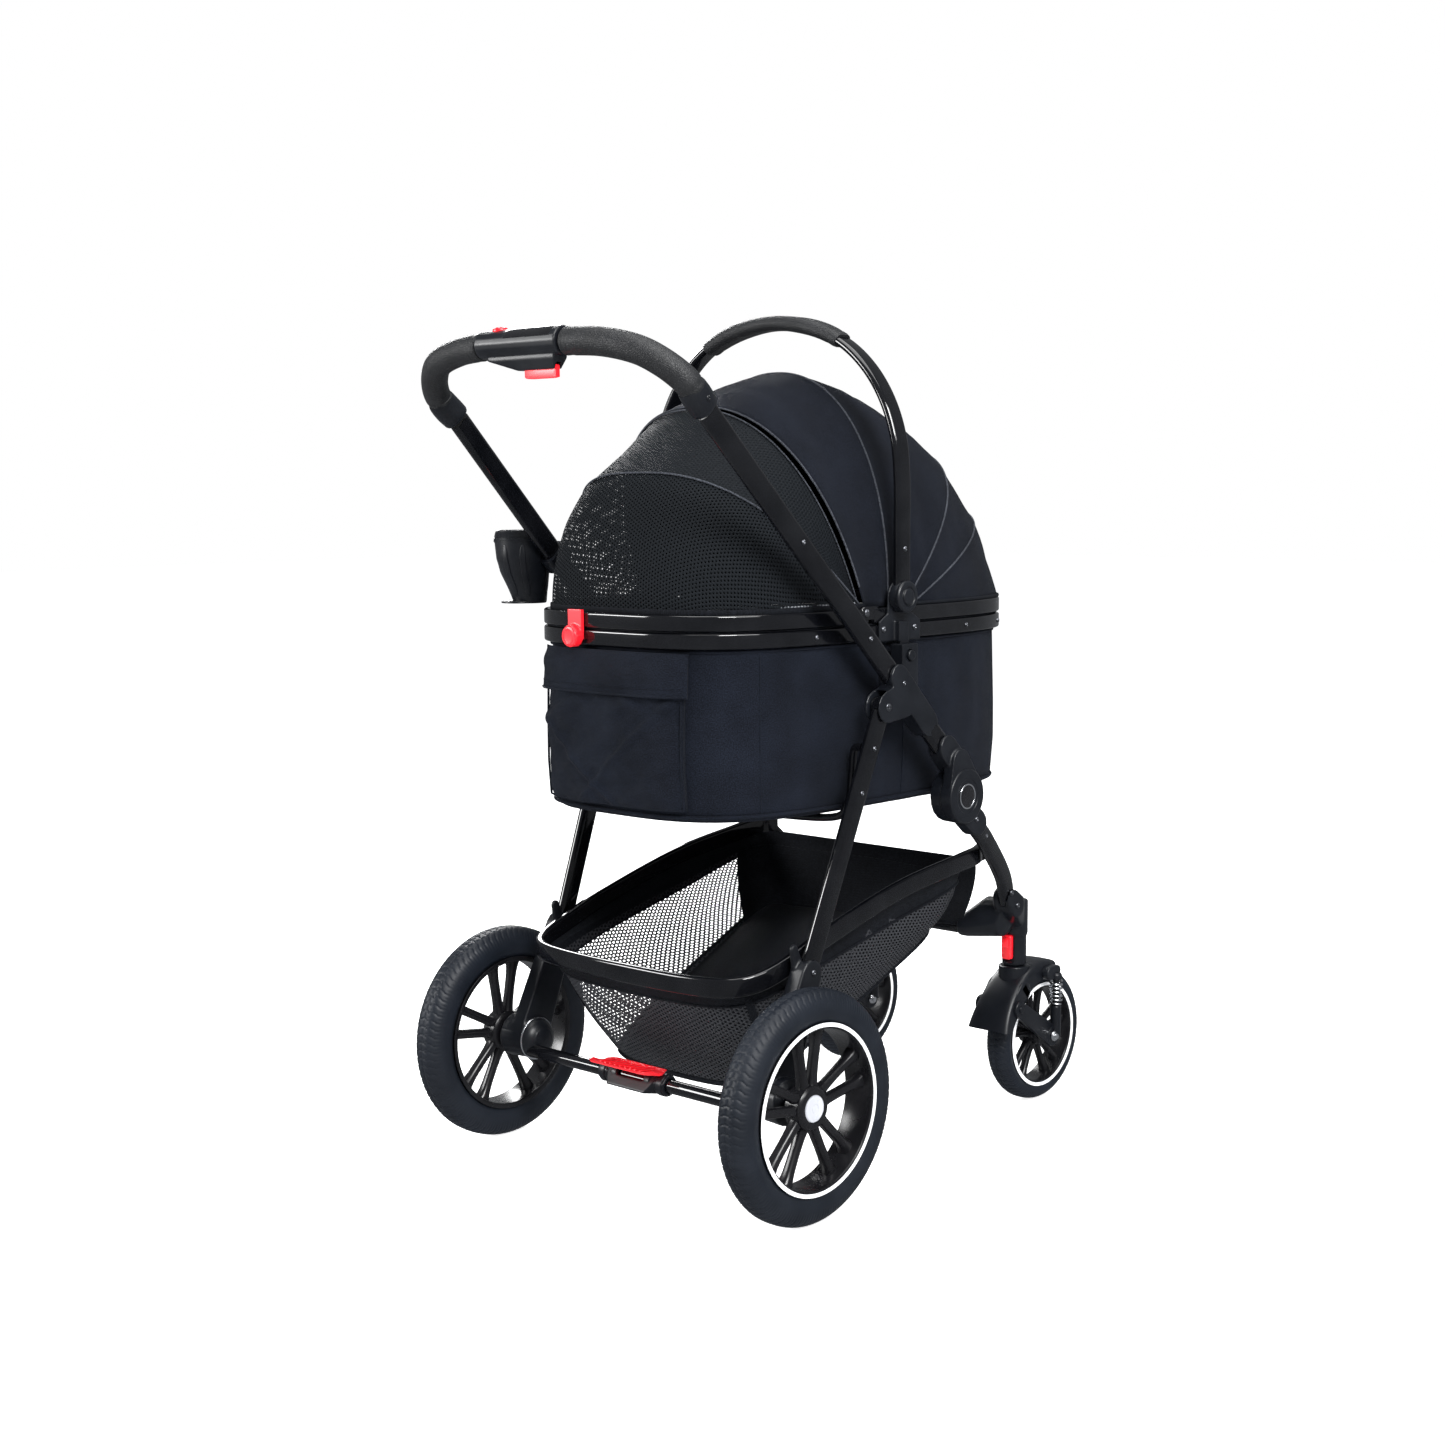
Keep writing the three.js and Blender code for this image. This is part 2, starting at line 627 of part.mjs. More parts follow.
// A canopy hoop at an angle from the rear, from one side of the carrier over to the other.
function hoop(angle, inset, count) {
  const k = Math.min(Math.max(angle / 30, 0), 5.999);
  const i = Math.floor(k);
  const reach = CANOPY_REACH[i] + (CANOPY_REACH[i + 1] - CANOPY_REACH[i]) * (k - i) - inset;
  const power = 3.3 - 1.2 * Math.sin((angle / 180) * Math.PI);
  const turn = THREE.MathUtils.degToRad(angle);
  const points = [];
  for (let j = 0; j <= count; j += 1) {
    const t = (j / count) * Math.PI;
    const [x, r] = superellipse(t, CANOPY.a - inset, reach, power);
    points.push([x, CANOPY.y + r * Math.cos(turn), CANOPY.z + r * Math.sin(turn)]);
  }
  return points;
}

// The solid under the whole canopy, from the rim at the rear to the rim at the front.
function canopySolid(inset, rise) {
  const slices = 12;
  const loops = [];
  for (let i = 0; i <= slices; i += 1) loops.push(hoop((i / slices) * 180, inset, 12));
  const n = loops[0].length;
  const positions = loops.flat(2);
  const index = [];
  for (let k = 0; k < slices; k += 1) {
    for (let i = 0; i < n - 1; i += 1) {
      const a = k * n + i;
      index.push(a, a + 1, a + n + 1, a, a + n + 1, a + n);
    }
  }
  const hub = positions.length / 3;
  positions.push(0, CANOPY.y, CANOPY.z);
  for (let i = 0; i < n - 1; i += 1) {
    index.push(hub, i + 1, i, hub, slices * n + i, slices * n + i + 1);
  }
  const geometry = new THREE.BufferGeometry();
  geometry.setAttribute('position', new THREE.Float32BufferAttribute(positions, 3));
  geometry.setIndex(index);
  return tidy(geometry).translate(0, 0, rise);
}

// The side-view wedge between two angles about the rear door's pivot.
function doorWedge(from, to) {
  const [y, z] = DOOR_PIVOT;
  const far = 800;
  const shape = new THREE.Shape();
  shape.moveTo(y, z);
  for (let i = 0; i <= 4; i += 1) {
    const t = THREE.MathUtils.degToRad(from + ((to - from) * i) / 4);
    shape.lineTo(y + far * Math.cos(t), z + far * Math.sin(t));
  }
  return plate(shape, -260, 260);
}

function canopies() {
  const front = cut(canopySolid(0, 0), canopySolid(CANOPY.wall, -0.5));
  const rear = cut(canopySolid(CANOPY.step, 0), canopySolid(CANOPY.step + CANOPY.wall, -0.5));
  const hubNotch = box([-260, -218, 700], [260, -186, 750]);
  add('canopy_front', cut(front, doorWedge(-60, 66), hubNotch), 'fabric');
  add('canopy_rear', common(rear, cut(doorWedge(-30, 65), hubNotch)), 'mesh');
}

function rims() {
  add('lower_rim', ring(LOWER_RIM), 'gloss');
  const upper = ring(UPPER_RIM);
  const [pivotY, pivotZ] = DOOR_PIVOT;
  const rearHalf = common(upper, box([-300, pivotY - 4, 700], [300, 100, 760]));
  const lugs = [-1, 1].map((s) => mirrored(rod('x', 195.9, 199.4, [pivotY, pivotZ], 9.4), s));
  const holes = rod('x', -300, 300, [pivotY, pivotZ], 3.3, 12);
  const room = link([pivotY, pivotZ], 10.4, [pivotY - 24, 724], 11);
  const lugRoom = [-1, 1].map((s) => mirrored(plate(room, 199.4, 230), s));
  add('upper_rim_rear', cut(join(rearHalf, ...lugs), ...lugRoom, holes), 'gloss');
  const frontHalf = common(upper, box([-300, -700, 700], [300, pivotY - 10, 760]));
  const ears = [-1, 1].map((s) => {
    const ear = plate(link([pivotY, pivotZ], 9, [pivotY - 24, 724], 9.7), 199.8, 206.6);
    const pin = rod('x', 195.4, 200, [pivotY, pivotZ], 3, 12);
    return mirrored(join(ear, pin), s);
  });
  add('upper_rim_front', join(frontHalf, ...ears), 'gloss');
}

function rimBracket() {
  const plateShape = polygon([[-306, 690], [-222, 690], [-222, 716], [-240, 726], [-288, 726], [-306, 716]]);
  const face = plate(plateShape, 207.1, 210.6);
  const cheek = plate(link([ARCH.y, 712], 22, [ARCH.y, ARCH.z], 20), 207.1, 210.6, 6);
  const boss = rod('x', 210, 224, [ARCH.y, ARCH.z], 8, 16);
  const prong = box([213, -270, 642], [219, -254, 712]);
  const bridge = box([207.1, -272, 690], [219, -252, 716]);
  return join(face, cheek, boss, prong, bridge);
}

function carryArch() {
  const { x, y, z, top } = ARCH;
  const half = [[x, y, z], [x, y, 830], [x, y, 895], [x - 6, y, 950], [x - 24, y, 998], [x - 54, y, 1040],
    [x - 95, y, 1073], [x - 148, y, 1095]];
  const other = half.map(([u, v, w]) => [-u, v, w]).reverse();
  const bow = tube(spline([...half, [0, y, top], ...other]), lyingStadium(ARCH.thick, ARCH.wide), 22, 2);
  const parts = [bow];
  for (const side of [-1, 1]) parts.push(mirrored(rod('x', 211, 221, [y, z], 20.5, 14), side));
  const bore = rod('x', -240, 240, [y, z], 8.3, 16);
  return cut(join(...parts), bore);
}

function archSleeve(arch) {
  const { x, y, top } = ARCH;
  const half = [[x - 108, y, 1080], [x - 160, y, 1097]];
  const other = half.map(([u, v, w]) => [-u, v, w]).reverse();
  const sleeve = tube(spline([...half, [0, y, top], ...other]), lyingStadium(22, 34), 10, 2);
  const keepOff = tube(spline([[x - 84, y, 1066], ...half, [0, y, top], ...other, [-x + 84, y, 1066]]),
    lyingStadium(ARCH.thick + 3, ARCH.wide + 3), 16, 2);
  return cut(sleeve, keepOff, arch);
}

function rimLatch() {
  const knob = rod('y', 64.6, 76, [48, 704], 14, 16);
  const body = box([36, 61.6, 700], [60, 67, 737]);
  return join(knob, body);
}

// ---------- assembly ----------
addPair('main_tube', mainTube(), 'gloss');
handle();
addPair('tube_bracket', tubeBracket(), 'plastic');
addPair('release_button', rod('x', 222.6, 232.2, [-262, 672], 7.2), 'plastic');
addPair('hinge_socket', hingeSocket(), 'plastic');
add('cup_holder', cupHolder(), 'plastic');

addPair('hinge_disc', hingeDisc(), 'plastic');
addPair('front_leg', frontLeg(), 'gloss');
addPair('front_knuckle', knuckle(), 'plastic');
add('front_crossbar', tube(straight([-118, -523, 264], [118, -523, 264]), stadium(14, 24), 1, 5), 'gloss');
addPair('caster_lock', casterLock(), 'red');

addPair('caster_fork', casterFork(), 'plastic');
addPair('swing_arm', swingArm(), 'plastic');
addPair('strut_spring', strutSpring(), 'chrome');
wheels();

addPair('rear_leg', rearLegWithEye(), 'gloss');
addPair('rear_hub', rearHub(), 'plastic');
add('support_bar', supportBar(), 'gloss');
axleAndBrake();
add('basket_rail', basketRail(), 'gloss');
add('basket_bag', basketBag(), 'mesh');

rims();
add('tub', tub(), 'fabric');
add('floor_cushion', floorCushion(), 'fabric');
addPair('rim_bracket', rimBracket(), 'plastic');
canopies();
const arch = carryArch();
add('carry_arch', arch, 'gloss');
add('arch_sleeve', archSleeve(arch), 'grip');
add('rim_latch', rimLatch(), 'red');

export default stroller;
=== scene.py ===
"""Looks for the pet stroller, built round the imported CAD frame.

Shapes are written in millimetres in the stroller's own design frame, where y = 0 is the rear axle;
build() turns them into metres in the row frame.
"""

import json
import math

import bmesh
import bpy
import numpy as np
from mathutils import Matrix, Vector, noise

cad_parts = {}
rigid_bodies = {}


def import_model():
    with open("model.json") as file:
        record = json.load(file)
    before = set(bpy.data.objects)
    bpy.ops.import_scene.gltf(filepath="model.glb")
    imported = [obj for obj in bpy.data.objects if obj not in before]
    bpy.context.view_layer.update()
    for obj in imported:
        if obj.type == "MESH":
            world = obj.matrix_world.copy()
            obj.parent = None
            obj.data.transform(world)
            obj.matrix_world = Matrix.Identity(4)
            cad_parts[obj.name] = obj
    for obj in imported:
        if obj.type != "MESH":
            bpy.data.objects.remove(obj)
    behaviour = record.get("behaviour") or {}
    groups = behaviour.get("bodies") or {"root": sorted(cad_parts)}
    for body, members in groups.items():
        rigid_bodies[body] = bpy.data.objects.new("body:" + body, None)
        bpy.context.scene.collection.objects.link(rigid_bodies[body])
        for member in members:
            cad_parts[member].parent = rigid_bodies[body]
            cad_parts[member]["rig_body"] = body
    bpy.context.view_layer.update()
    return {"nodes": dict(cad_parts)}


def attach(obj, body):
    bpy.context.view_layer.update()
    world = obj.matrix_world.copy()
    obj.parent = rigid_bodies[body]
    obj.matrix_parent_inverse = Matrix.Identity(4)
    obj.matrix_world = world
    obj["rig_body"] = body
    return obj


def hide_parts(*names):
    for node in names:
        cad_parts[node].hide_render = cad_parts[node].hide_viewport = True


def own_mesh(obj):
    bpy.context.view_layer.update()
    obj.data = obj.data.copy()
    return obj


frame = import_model()
scene = bpy.context.scene

SIDES = ((1, "left"), (-1, "right"))
AXLE_Y = 259.0  # the rear axle's place along the row's Y axis
RIM_A, RIM_B, RIM_Y, RIM_POWER, RIM_WALL = 206.8, 328.0, -267.0, 3.54, 11.0
TUBE_TOP = np.array((219.6, 104.0, 975.0))
TUBE_END = np.array((245.3, -327.6, 530.0))
HINGE = (-338.0, 484.0)
LEG_PIVOT = (-190.0, 612.0)
DOOR_PIVOT = (-202.0, 728.0)
DOOR_END, FRONT_END = 3.4, 10.6  # how far in front of the pivot the door's rim and the fixed rim stop
ARCH_X, ARCH_Y, ARCH_Z, ARCH_TOP = 216.0, -260.0, 747.0, 1104.0
CASTER_X, CASTER_Y = 169.0, -580.0
FRONT_Y, FRONT_Z = -628.0, 96.5
REAR_X, REAR_Z = 277.0, 145.0


# ---------- materials ----------
def new_material(name, color, roughness, metallic=0.0, **sockets):
    m = bpy.data.materials.new(name)
    m.use_nodes = True
    b = m.node_tree.nodes["Principled BSDF"]
    b.inputs["Base Color"].default_value = (*color, 1)
    b.inputs["Roughness"].default_value = roughness
    b.inputs["Metallic"].default_value = metallic
    for key, value in sockets.items():
        b.inputs[key.replace("_", " ")].default_value = value
    return m


def node(m, kind, **inputs):
    n = m.node_tree.nodes.new(kind)
    for key, value in inputs.items():
        n.inputs[key.replace("_", " ")].default_value = value
    return n


def wire(m, a, b):
    m.node_tree.links.new(a, b)


def shader(m):
    return m.node_tree.nodes["Principled BSDF"]


def coords(m, use_uv):
    return node(m, "ShaderNodeTexCoord").outputs["UV" if use_uv else "Object"]


def math_node(m, operation, a, b=None):
    n = m.node_tree.nodes.new("ShaderNodeMath")
    n.operation = operation
    for i, value in enumerate((a, b)):
        if value is None:
            continue
        if isinstance(value, (int, float)):
            n.inputs[i].default_value = value
        else:
            wire(m, value, n.inputs[i])
    return n.outputs[0]


def ramp(m, source, stops):
    n = m.node_tree.nodes.new("ShaderNodeValToRGB")
    n.color_ramp.elements[0].position, n.color_ramp.elements[0].color = stops[0][0], (*stops[0][1], 1)
    n.color_ramp.elements[1].position, n.color_ramp.elements[1].color = stops[1][0], (*stops[1][1], 1)
    wire(m, source, n.inputs[0])
    return n.outputs[0]


def bump(m, height, strength, distance):
    n = node(m, "ShaderNodeBump", Strength=strength, Distance=distance)
    wire(m, height, n.inputs["Height"])
    wire(m, n.outputs[0], shader(m).inputs["Normal"])
    return n


def noise_of(m, scale, detail=3.0, use_uv=False):
    n = node(m, "ShaderNodeTexNoise", Scale=scale, Detail=detail)
    wire(m, coords(m, use_uv), n.inputs["Vector"])
    return n.outputs["Fac"]


def plastic(name, color, roughness, spread=0.08, grain=900.0, depth=0.00006, **sockets):
    """Moulded plastic or enamel: a fine grain in the surface and slightly uneven gloss and colour."""
    m = new_material(name, color, roughness, **sockets)
    wear = noise_of(m, 9.0, 5.0)
    low, high = max(roughness - spread, 0.03), roughness + spread
    wire(m, ramp(m, wear, [(0.3, (low,) * 3), (0.7, (high,) * 3)]), shader(m).inputs["Roughness"])
    tint = tuple(min(c * 1.35 + 0.002, 1) for c in color)
    wire(m, ramp(m, noise_of(m, 23.0, 4.0), [(0.35, color), (0.75, tint)]), shader(m).inputs["Base Color"])
    bump(m, noise_of(m, grain, 2.0), 0.35, depth)
    return m


def leathery(name, color, roughness, scale=420.0, depth=0.0004):
    """Pebbled grip foam: cells with fine creases between them."""
    m = new_material(name, color, roughness, Specular_IOR_Level=0.3)
    cells = node(m, "ShaderNodeTexVoronoi", Scale=scale)
    cells.feature = "DISTANCE_TO_EDGE"
    wire(m, coords(m, False), cells.inputs["Vector"])
    height = ramp(m, cells.outputs["Distance"], [(0.0, (0, 0, 0)), (0.22, (1, 1, 1))])
    bump(m, height, 0.6, depth)
    tint = tuple(c * 1.6 for c in color)
    wire(m, ramp(m, noise_of(m, 40.0), [(0.3, color), (0.75, tint)]), shader(m).inputs["Base Color"])
    return m


def stripes(m, direction, pitch, use_uv=True):
    """cos of the position along a direction of the sheet, one turn per pitch."""
    split = m.node_tree.nodes.new("ShaderNodeSeparateXYZ")
    wire(m, coords(m, use_uv), split.inputs[0])
    k = 2 * math.pi / pitch
    a = math_node(m, "MULTIPLY", split.outputs[0], k * direction[0])
    b = math_node(m, "MULTIPLY", split.outputs[1], k * direction[1])
    return math_node(m, "COSINE", math_node(m, "ADD", a, b))


def woven(name, color, pitch=0.0011, roughness=0.85, use_uv=True, sheen=0.012):
    """Plain weave: warp and weft ribs, slubs, and a faint large mottling of the colour that is painted shade
    standing in for folds.
    """
    m = new_material(name, color, roughness, Sheen_Weight=sheen, Sheen_Roughness=0.4, Specular_IOR_Level=0.09)
    warp, weft = stripes(m, (1, 0), pitch, use_uv), stripes(m, (0, 1), pitch, use_uv)
    ribs = math_node(m, "MULTIPLY", warp, weft)
    slub = noise_of(m, 260.0, 4.0, use_uv)
    height = math_node(m, "ADD", math_node(m, "MULTIPLY", ribs, 0.6), slub)
    bump(m, height, 0.6, 0.0005)
    dark, light = tuple(c * 0.55 for c in color), tuple(min(c * 3.6 + 0.0015, 1) for c in color)
    threads = math_node(m, "ADD", math_node(m, "MULTIPLY", ribs, 0.14), noise_of(m, 620.0, 3.0, use_uv))
    # painted shade: large blotches of darker and lighter colour that stand in for the shading of cloth folds
    painted_fold_shade = math_node(m, "ADD", math_node(m, "MULTIPLY", noise_of(m, 17.0, 4.0), 0.35), -0.17)
    wire(m, ramp(m, math_node(m, "ADD", threads, painted_fold_shade), [(0.3, dark), (0.86, light)]),
         shader(m).inputs["Base Color"])
    return m


def netting(name, color, pitch, hole, roughness=0.7):
    """Open net: rows of round-cornered holes set in a honeycomb."""
    m = new_material(name, color, roughness, Specular_IOR_Level=0.08)
    s = math.sqrt(3) / 2
    waves = [stripes(m, d, pitch * s) for d in ((1, 0), (0.5, s), (-0.5, s))]
    total = math_node(m, "ADD", math_node(m, "ADD", waves[0], waves[1]), waves[2])
    thread = math_node(m, "LESS_THAN", total, hole)
    wire(m, thread, shader(m).inputs["Alpha"])
    bump(m, total, 0.5, 0.0006)
    light = tuple(c * 1.7 for c in color)
    wire(m, ramp(m, noise_of(m, 300.0, 3.0, True), [(0.3, color), (0.8, light)]), shader(m).inputs["Base Color"])
    return m


ENAMEL = plastic("gloss_enamel", (0.0016, 0.0018, 0.0026), 0.085, 0.03, 300.0, 0.00002)
RIM_GLOSS = plastic("rim_gloss", (0.0014, 0.0016, 0.0024), 0.085, 0.025, 260.0, 0.00002, Specular_IOR_Level=0.6)
SATIN = plastic("satin_moulding", (0.0034, 0.0042, 0.0062), 0.36, 0.06, 1400.0, 0.00008, Specular_IOR_Level=0.34)
GLOSS_PLASTIC = plastic("gloss_moulding", (0.004, 0.004, 0.005), 0.12, 0.04, 200.0, 0.00002)
WHEEL_PLASTIC = plastic("wheel_moulding", (0.004, 0.004, 0.005), 0.27, 0.06, 700.0, 0.00005, Specular_IOR_Level=0.4)
RED = plastic("red_moulding", (0.66, 0.008, 0.016), 0.33, 0.06, 900.0, 0.00005)
WHITE_RING = plastic("bright_ring", (0.72, 0.73, 0.76), 0.28, 0.05, 500.0, 0.00003)
SILVER = plastic("bright_metal", (0.62, 0.63, 0.66), 0.22, 0.08, 500.0, 0.00003, metallic=1.0)
SILVER_PAINT = plastic("silver_paint", (0.36, 0.37, 0.40), 0.3, 0.05, 700.0, 0.00003)
STEEL = plastic("dull_steel", (0.14, 0.145, 0.16), 0.34, 0.08, 500.0, 0.00003, metallic=1.0)
GRIP = leathery("pebbled_grip", (0.008, 0.0085, 0.0095), 0.46)
TYRE = plastic("tyre_rubber", (0.0048, 0.0068, 0.0110), 0.5, 0.08, 1200.0, 0.00016, Specular_IOR_Level=0.26)
CLOTH = woven("canopy_cloth", (0.0024, 0.0032, 0.0056))
TUB_CLOTH = woven("tub_cloth", (0.0026, 0.0036, 0.0064), 0.0012)
LINING = woven("lining_cloth", (0.008, 0.009, 0.012), 0.0016, 0.9)
HEX_MESH = netting("canopy_net", (0.0042, 0.0052, 0.0066), 0.0050, 1.5)
HEX_MESH_CLOSE = netting("canopy_net_close", (0.0042, 0.0052, 0.0066), 0.0050, 2.6)
BASKET_NET = netting("basket_net", (0.020, 0.021, 0.024), 0.0062, 0.55)
PIPING = woven("piping_cord", (0.022, 0.024, 0.029), 0.0014, 0.8, False)
WEBBING = woven("webbing", (0.0024, 0.0029, 0.0042), 0.0022, 0.75, False)
STITCH = woven("stitch_thread", (0.20, 0.21, 0.23), 0.0006, 0.8, False)


# ---------- shapes ----------
def smooth_by_angle(mesh, degrees):
    bm = bmesh.new()
    bm.from_mesh(mesh)
    for f in bm.faces:
        f.smooth = True
    for e in bm.edges:
        e.smooth = len(e.link_faces) != 2 or e.calc_face_angle(0) < math.radians(degrees)
    bm.to_mesh(mesh)
    bm.free()


def build(name, shape, material, body, replaces=(), side=1, sharp=40.0):
    """A piece from (vertices in mm, faces, corner UVs or None), mirrored to the right when side is -1."""
    verts, faces, uvs = shape
    v = np.asarray(verts, float) * (side, 1, 1)
    v = (v + (0, AXLE_Y, 0)) / 1000
    if side < 0:
        faces = [list(f)[::-1] for f in faces]
        uvs = None if uvs is None else [list(u)[::-1] for u in uvs]
    mesh = bpy.data.meshes.new(name)
    mesh.from_pydata(v.tolist(), [], [[int(i) for i in f] for f in faces])
    if uvs is not None:
        layer = mesh.uv_layers.new(name="UVMap")
        layer.data.foreach_set("uv", np.array([c for f in uvs for c in f], np.float32).ravel())
    for m in material if isinstance(material, (list, tuple)) else [material]:
        mesh.materials.append(m)
    smooth_by_angle(mesh, sharp)
    ob = bpy.data.objects.new(name, mesh)
    scene.collection.objects.link(ob)
    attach(ob, body)
    if replaces:
        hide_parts(*replaces)
    return ob


def merge(*shapes):
    """Several shapes in one piece."""
    verts, faces, uvs = [], [], []
    for v, f, u in shapes:
        start = len(verts)
        verts.extend(np.asarray(v, float).tolist())
        faces.extend([[i + start for i in face] for face in f])
        uvs.extend(u if u is not None else [[(0, 0)] * len(face) for face in f])
    return verts, faces, uvs


def around(count):
    """Angles spread evenly round a full turn."""
    return np.linspace(0, 2 * math.pi, count, endpoint=False)


def run_of(path):
    """Length along a path at each of its points."""
    return np.concatenate([[0], np.cumsum(np.linalg.norm(np.diff(path, axis=0), axis=1))])


def point_at(path, run, at):
    """Points of a path at lengths along it."""
    return np.stack([np.interp(at, run, path[:, i]) for i in range(3)], axis=1)


def arcs(points, axis):
    """Length along each row or column, zero at its middle, in metres."""
    d = np.linalg.norm(np.diff(points, axis=axis), axis=2)
    total = np.concatenate([np.zeros_like(d.take([0], axis=axis)), np.cumsum(d, axis=axis)], axis=axis)
    middle = total.take([points.shape[axis] // 2], axis=axis)
    return (total - middle) / 1000


def grid(points, wrap=False, flip=False):
    """A sheet through points[row][column]; wrap joins the last column to the first."""
    pts = np.asarray(points, float)
    rows, cols = pts.shape[:2]
    wide = np.concatenate([pts, pts[:, :1]], axis=1) if wrap else pts
    u, v = arcs(wide, 1), arcs(wide, 0)
    faces, uvs = [], []
    for r in range(rows - 1):
        for c in range(wide.shape[1] - 1):
            corners = [(r, c), (r, c + 1), (r + 1, c + 1), (r + 1, c)]
            if flip:
                corners.reverse()
            faces.append([a * cols + b % cols for a, b in corners])
            uvs.append([(u[a, b], v[a, b]) for a, b in corners])
    return pts.reshape(-1, 3), faces, uvs


def capped(rows):
    """A tube through rows of points, closed by flat ends."""
    verts, faces, uvs = grid(rows, wrap=True)
    m, last = len(rows[0]), (len(rows) - 1) * len(rows[0])
    faces += [list(range(m))[::-1], list(range(last, last + m))]
    uvs += [[(0, 0)] * m] * 2
    return verts, faces, uvs


def oval(thick, wide, count=32):
    """A stadium, thick along the first axis and wide along the second."""
    r, h = thick / 2, (wide - thick) / 2
    angles = around(count) + math.pi / count
    return np.array([(r * math.cos(t), r * math.sin(t) + math.copysign(h, math.sin(t))) for t in angles])


def circle(radius, count=20):
    t = around(count)
    return np.stack([radius * np.cos(t), radius * np.sin(t)], axis=1)


def rounded(width, height, radius, steps=4):
    """A rectangle with round corners, width along the first axis."""
    out = []
    for k, (sx, sy) in enumerate(((1, 1), (-1, 1), (-1, -1), (1, -1))):
        for i in range(steps + 1):
            t = (k + i / steps) * math.pi / 2
            out.append((sx * (width / 2 - radius) + radius * math.cos(t),
                        sy * (height / 2 - radius) + radius * math.sin(t)))
    return np.array(out)


def catmull(points, per=10):
    p = np.array(points, float)
    p = np.vstack([2 * p[0] - p[1], p, 2 * p[-1] - p[-2]])
    out = []
    for i in range(1, len(p) - 2):
        for k in range(per):
            t = k / per
            a, b, c, d = p[i - 1 : i + 3]
            out.append(0.5 * (2 * b + (c - a) * t + (2 * a - 5 * b + 4 * c - d) * t**2
                              + (3 * b - a - 3 * c + d) * t**3))
    return np.array([*out, p[-2]])


def sweep(path, section, ref, closed=False, scale=None, caps=True):
    """Carries a section along a path. The section's first axis follows ref, squared up to the path."""
    path = np.asarray(path, float)
    n = len(path)
    if closed:
        t = np.roll(path, -1, 0) - np.roll(path, 1, 0)
    else:
        t = np.gradient(path, axis=0)
    t /= np.linalg.norm(t, axis=1)[:, None]
    ref = np.broadcast_to(np.asarray(ref, float), path.shape)
    a = ref - (ref * t).sum(1)[:, None] * t
    a /= np.linalg.norm(a, axis=1)[:, None]
    b = np.cross(t, a)
    k = np.ones(n) if scale is None else np.asarray(scale, float)
    pts = path[:, None] + k[:, None, None] * (section[None, :, :1] * a[:, None] + section[None, :, 1:] * b[:, None])
    if closed:
        pts = np.concatenate([pts, pts[:1]], axis=0)
    verts, faces, uvs = grid(pts, wrap=True, flip=True)
    if closed:
        last = n * len(section)
        faces = [[i % last if i >= last else i for i in f] for f in faces]
        verts = verts[:last]
    elif caps:
        m = len(section)
        for ring in (list(range(m)), list(range((n - 1) * m, n * m))[::-1]):
            faces.append(ring)
            uvs.append([(0, 0)] * m)
    return verts, faces, uvs


def turned(outline, centre, axis="x", sides=48):
    """A closed solid turned about a line along x, y or z through a point; outline holds (place, radius)."""
    out = np.array(outline, float)
    t = around(sides)
    pts = np.zeros((len(out), sides, 3))
    i, j, k = {"x": (0, 1, 2), "y": (1, 2, 0), "z": (2, 0, 1)}[axis]
    pts[:, :, i] = out[:, :1]
    pts[:, :, j] = out[:, 1:] * np.cos(t)
    pts[:, :, k] = out[:, 1:] * np.sin(t)
    return grid(pts + np.asarray(centre, float), wrap=True, flip=True)


def soft_outline(points, radius=1.2, steps=3):
    """Rounds the corners of an open outline."""
    p = [np.array(q, float) for q in points]
    out = [p[0]]
    for a, b, c in zip(p, p[1:], p[2:]):
        r = min(radius, np.linalg.norm(a - b) * 0.45, np.linalg.norm(c - b) * 0.45)
        s = b + (a - b) / max(np.linalg.norm(a - b), 1e-9) * r
        e = b + (c - b) / max(np.linalg.norm(c - b), 1e-9) * r
        out += [(1 - t) ** 2 * s + 2 * t * (1 - t) * b + t * t * e for t in np.linspace(0, 1, steps + 1)]
    return [*out, p[-1]]


FAR = 999  # a distance that rules a point out


def lathe(points, centre, axis="x", sides=48, radius=1.2):
    """A turned solid whose corners are rounded."""
    return turned(soft_outline(points, radius), centre, axis, sides)


def wobble(u, v, w):
    """Smooth noise at a place, from -1 to 1."""
    return noise.noise(Vector((u, v, w)))


def bell(x, width):
    """1 at x = 0, falling away over a width."""
    return math.exp(-((x / width) ** 2))


def superellipse(t, a, b, power):
    c, s = math.cos(t), math.sin(t)
    return a * math.copysign(abs(c) ** (2 / power), c), b * math.copysign(abs(s) ** (2 / power), s)


def plan(grow, z, count=200):
    """The carrier's outline at a height, grown or shrunk all round, with its points spread evenly."""
    raw = np.array([superellipse(t, RIM_A + grow, RIM_B + grow, RIM_POWER)
                    for t in np.linspace(0, 2 * math.pi, 1441)])
    s = run_of(raw)
    at = np.linspace(0, s[-1], count, endpoint=False)
    x, y = np.interp(at, s, raw[:, 0]), np.interp(at, s, raw[:, 1])
    return np.stack([x, y + RIM_Y, np.full(count, float(z))], axis=1)


def nearest(ring, y, side):
    """The column of a ring nearest to a y, on one side."""
    return int(np.argmin(np.abs(ring[:, 1] - y) + (ring[:, 0] * side < 0) * FAR))


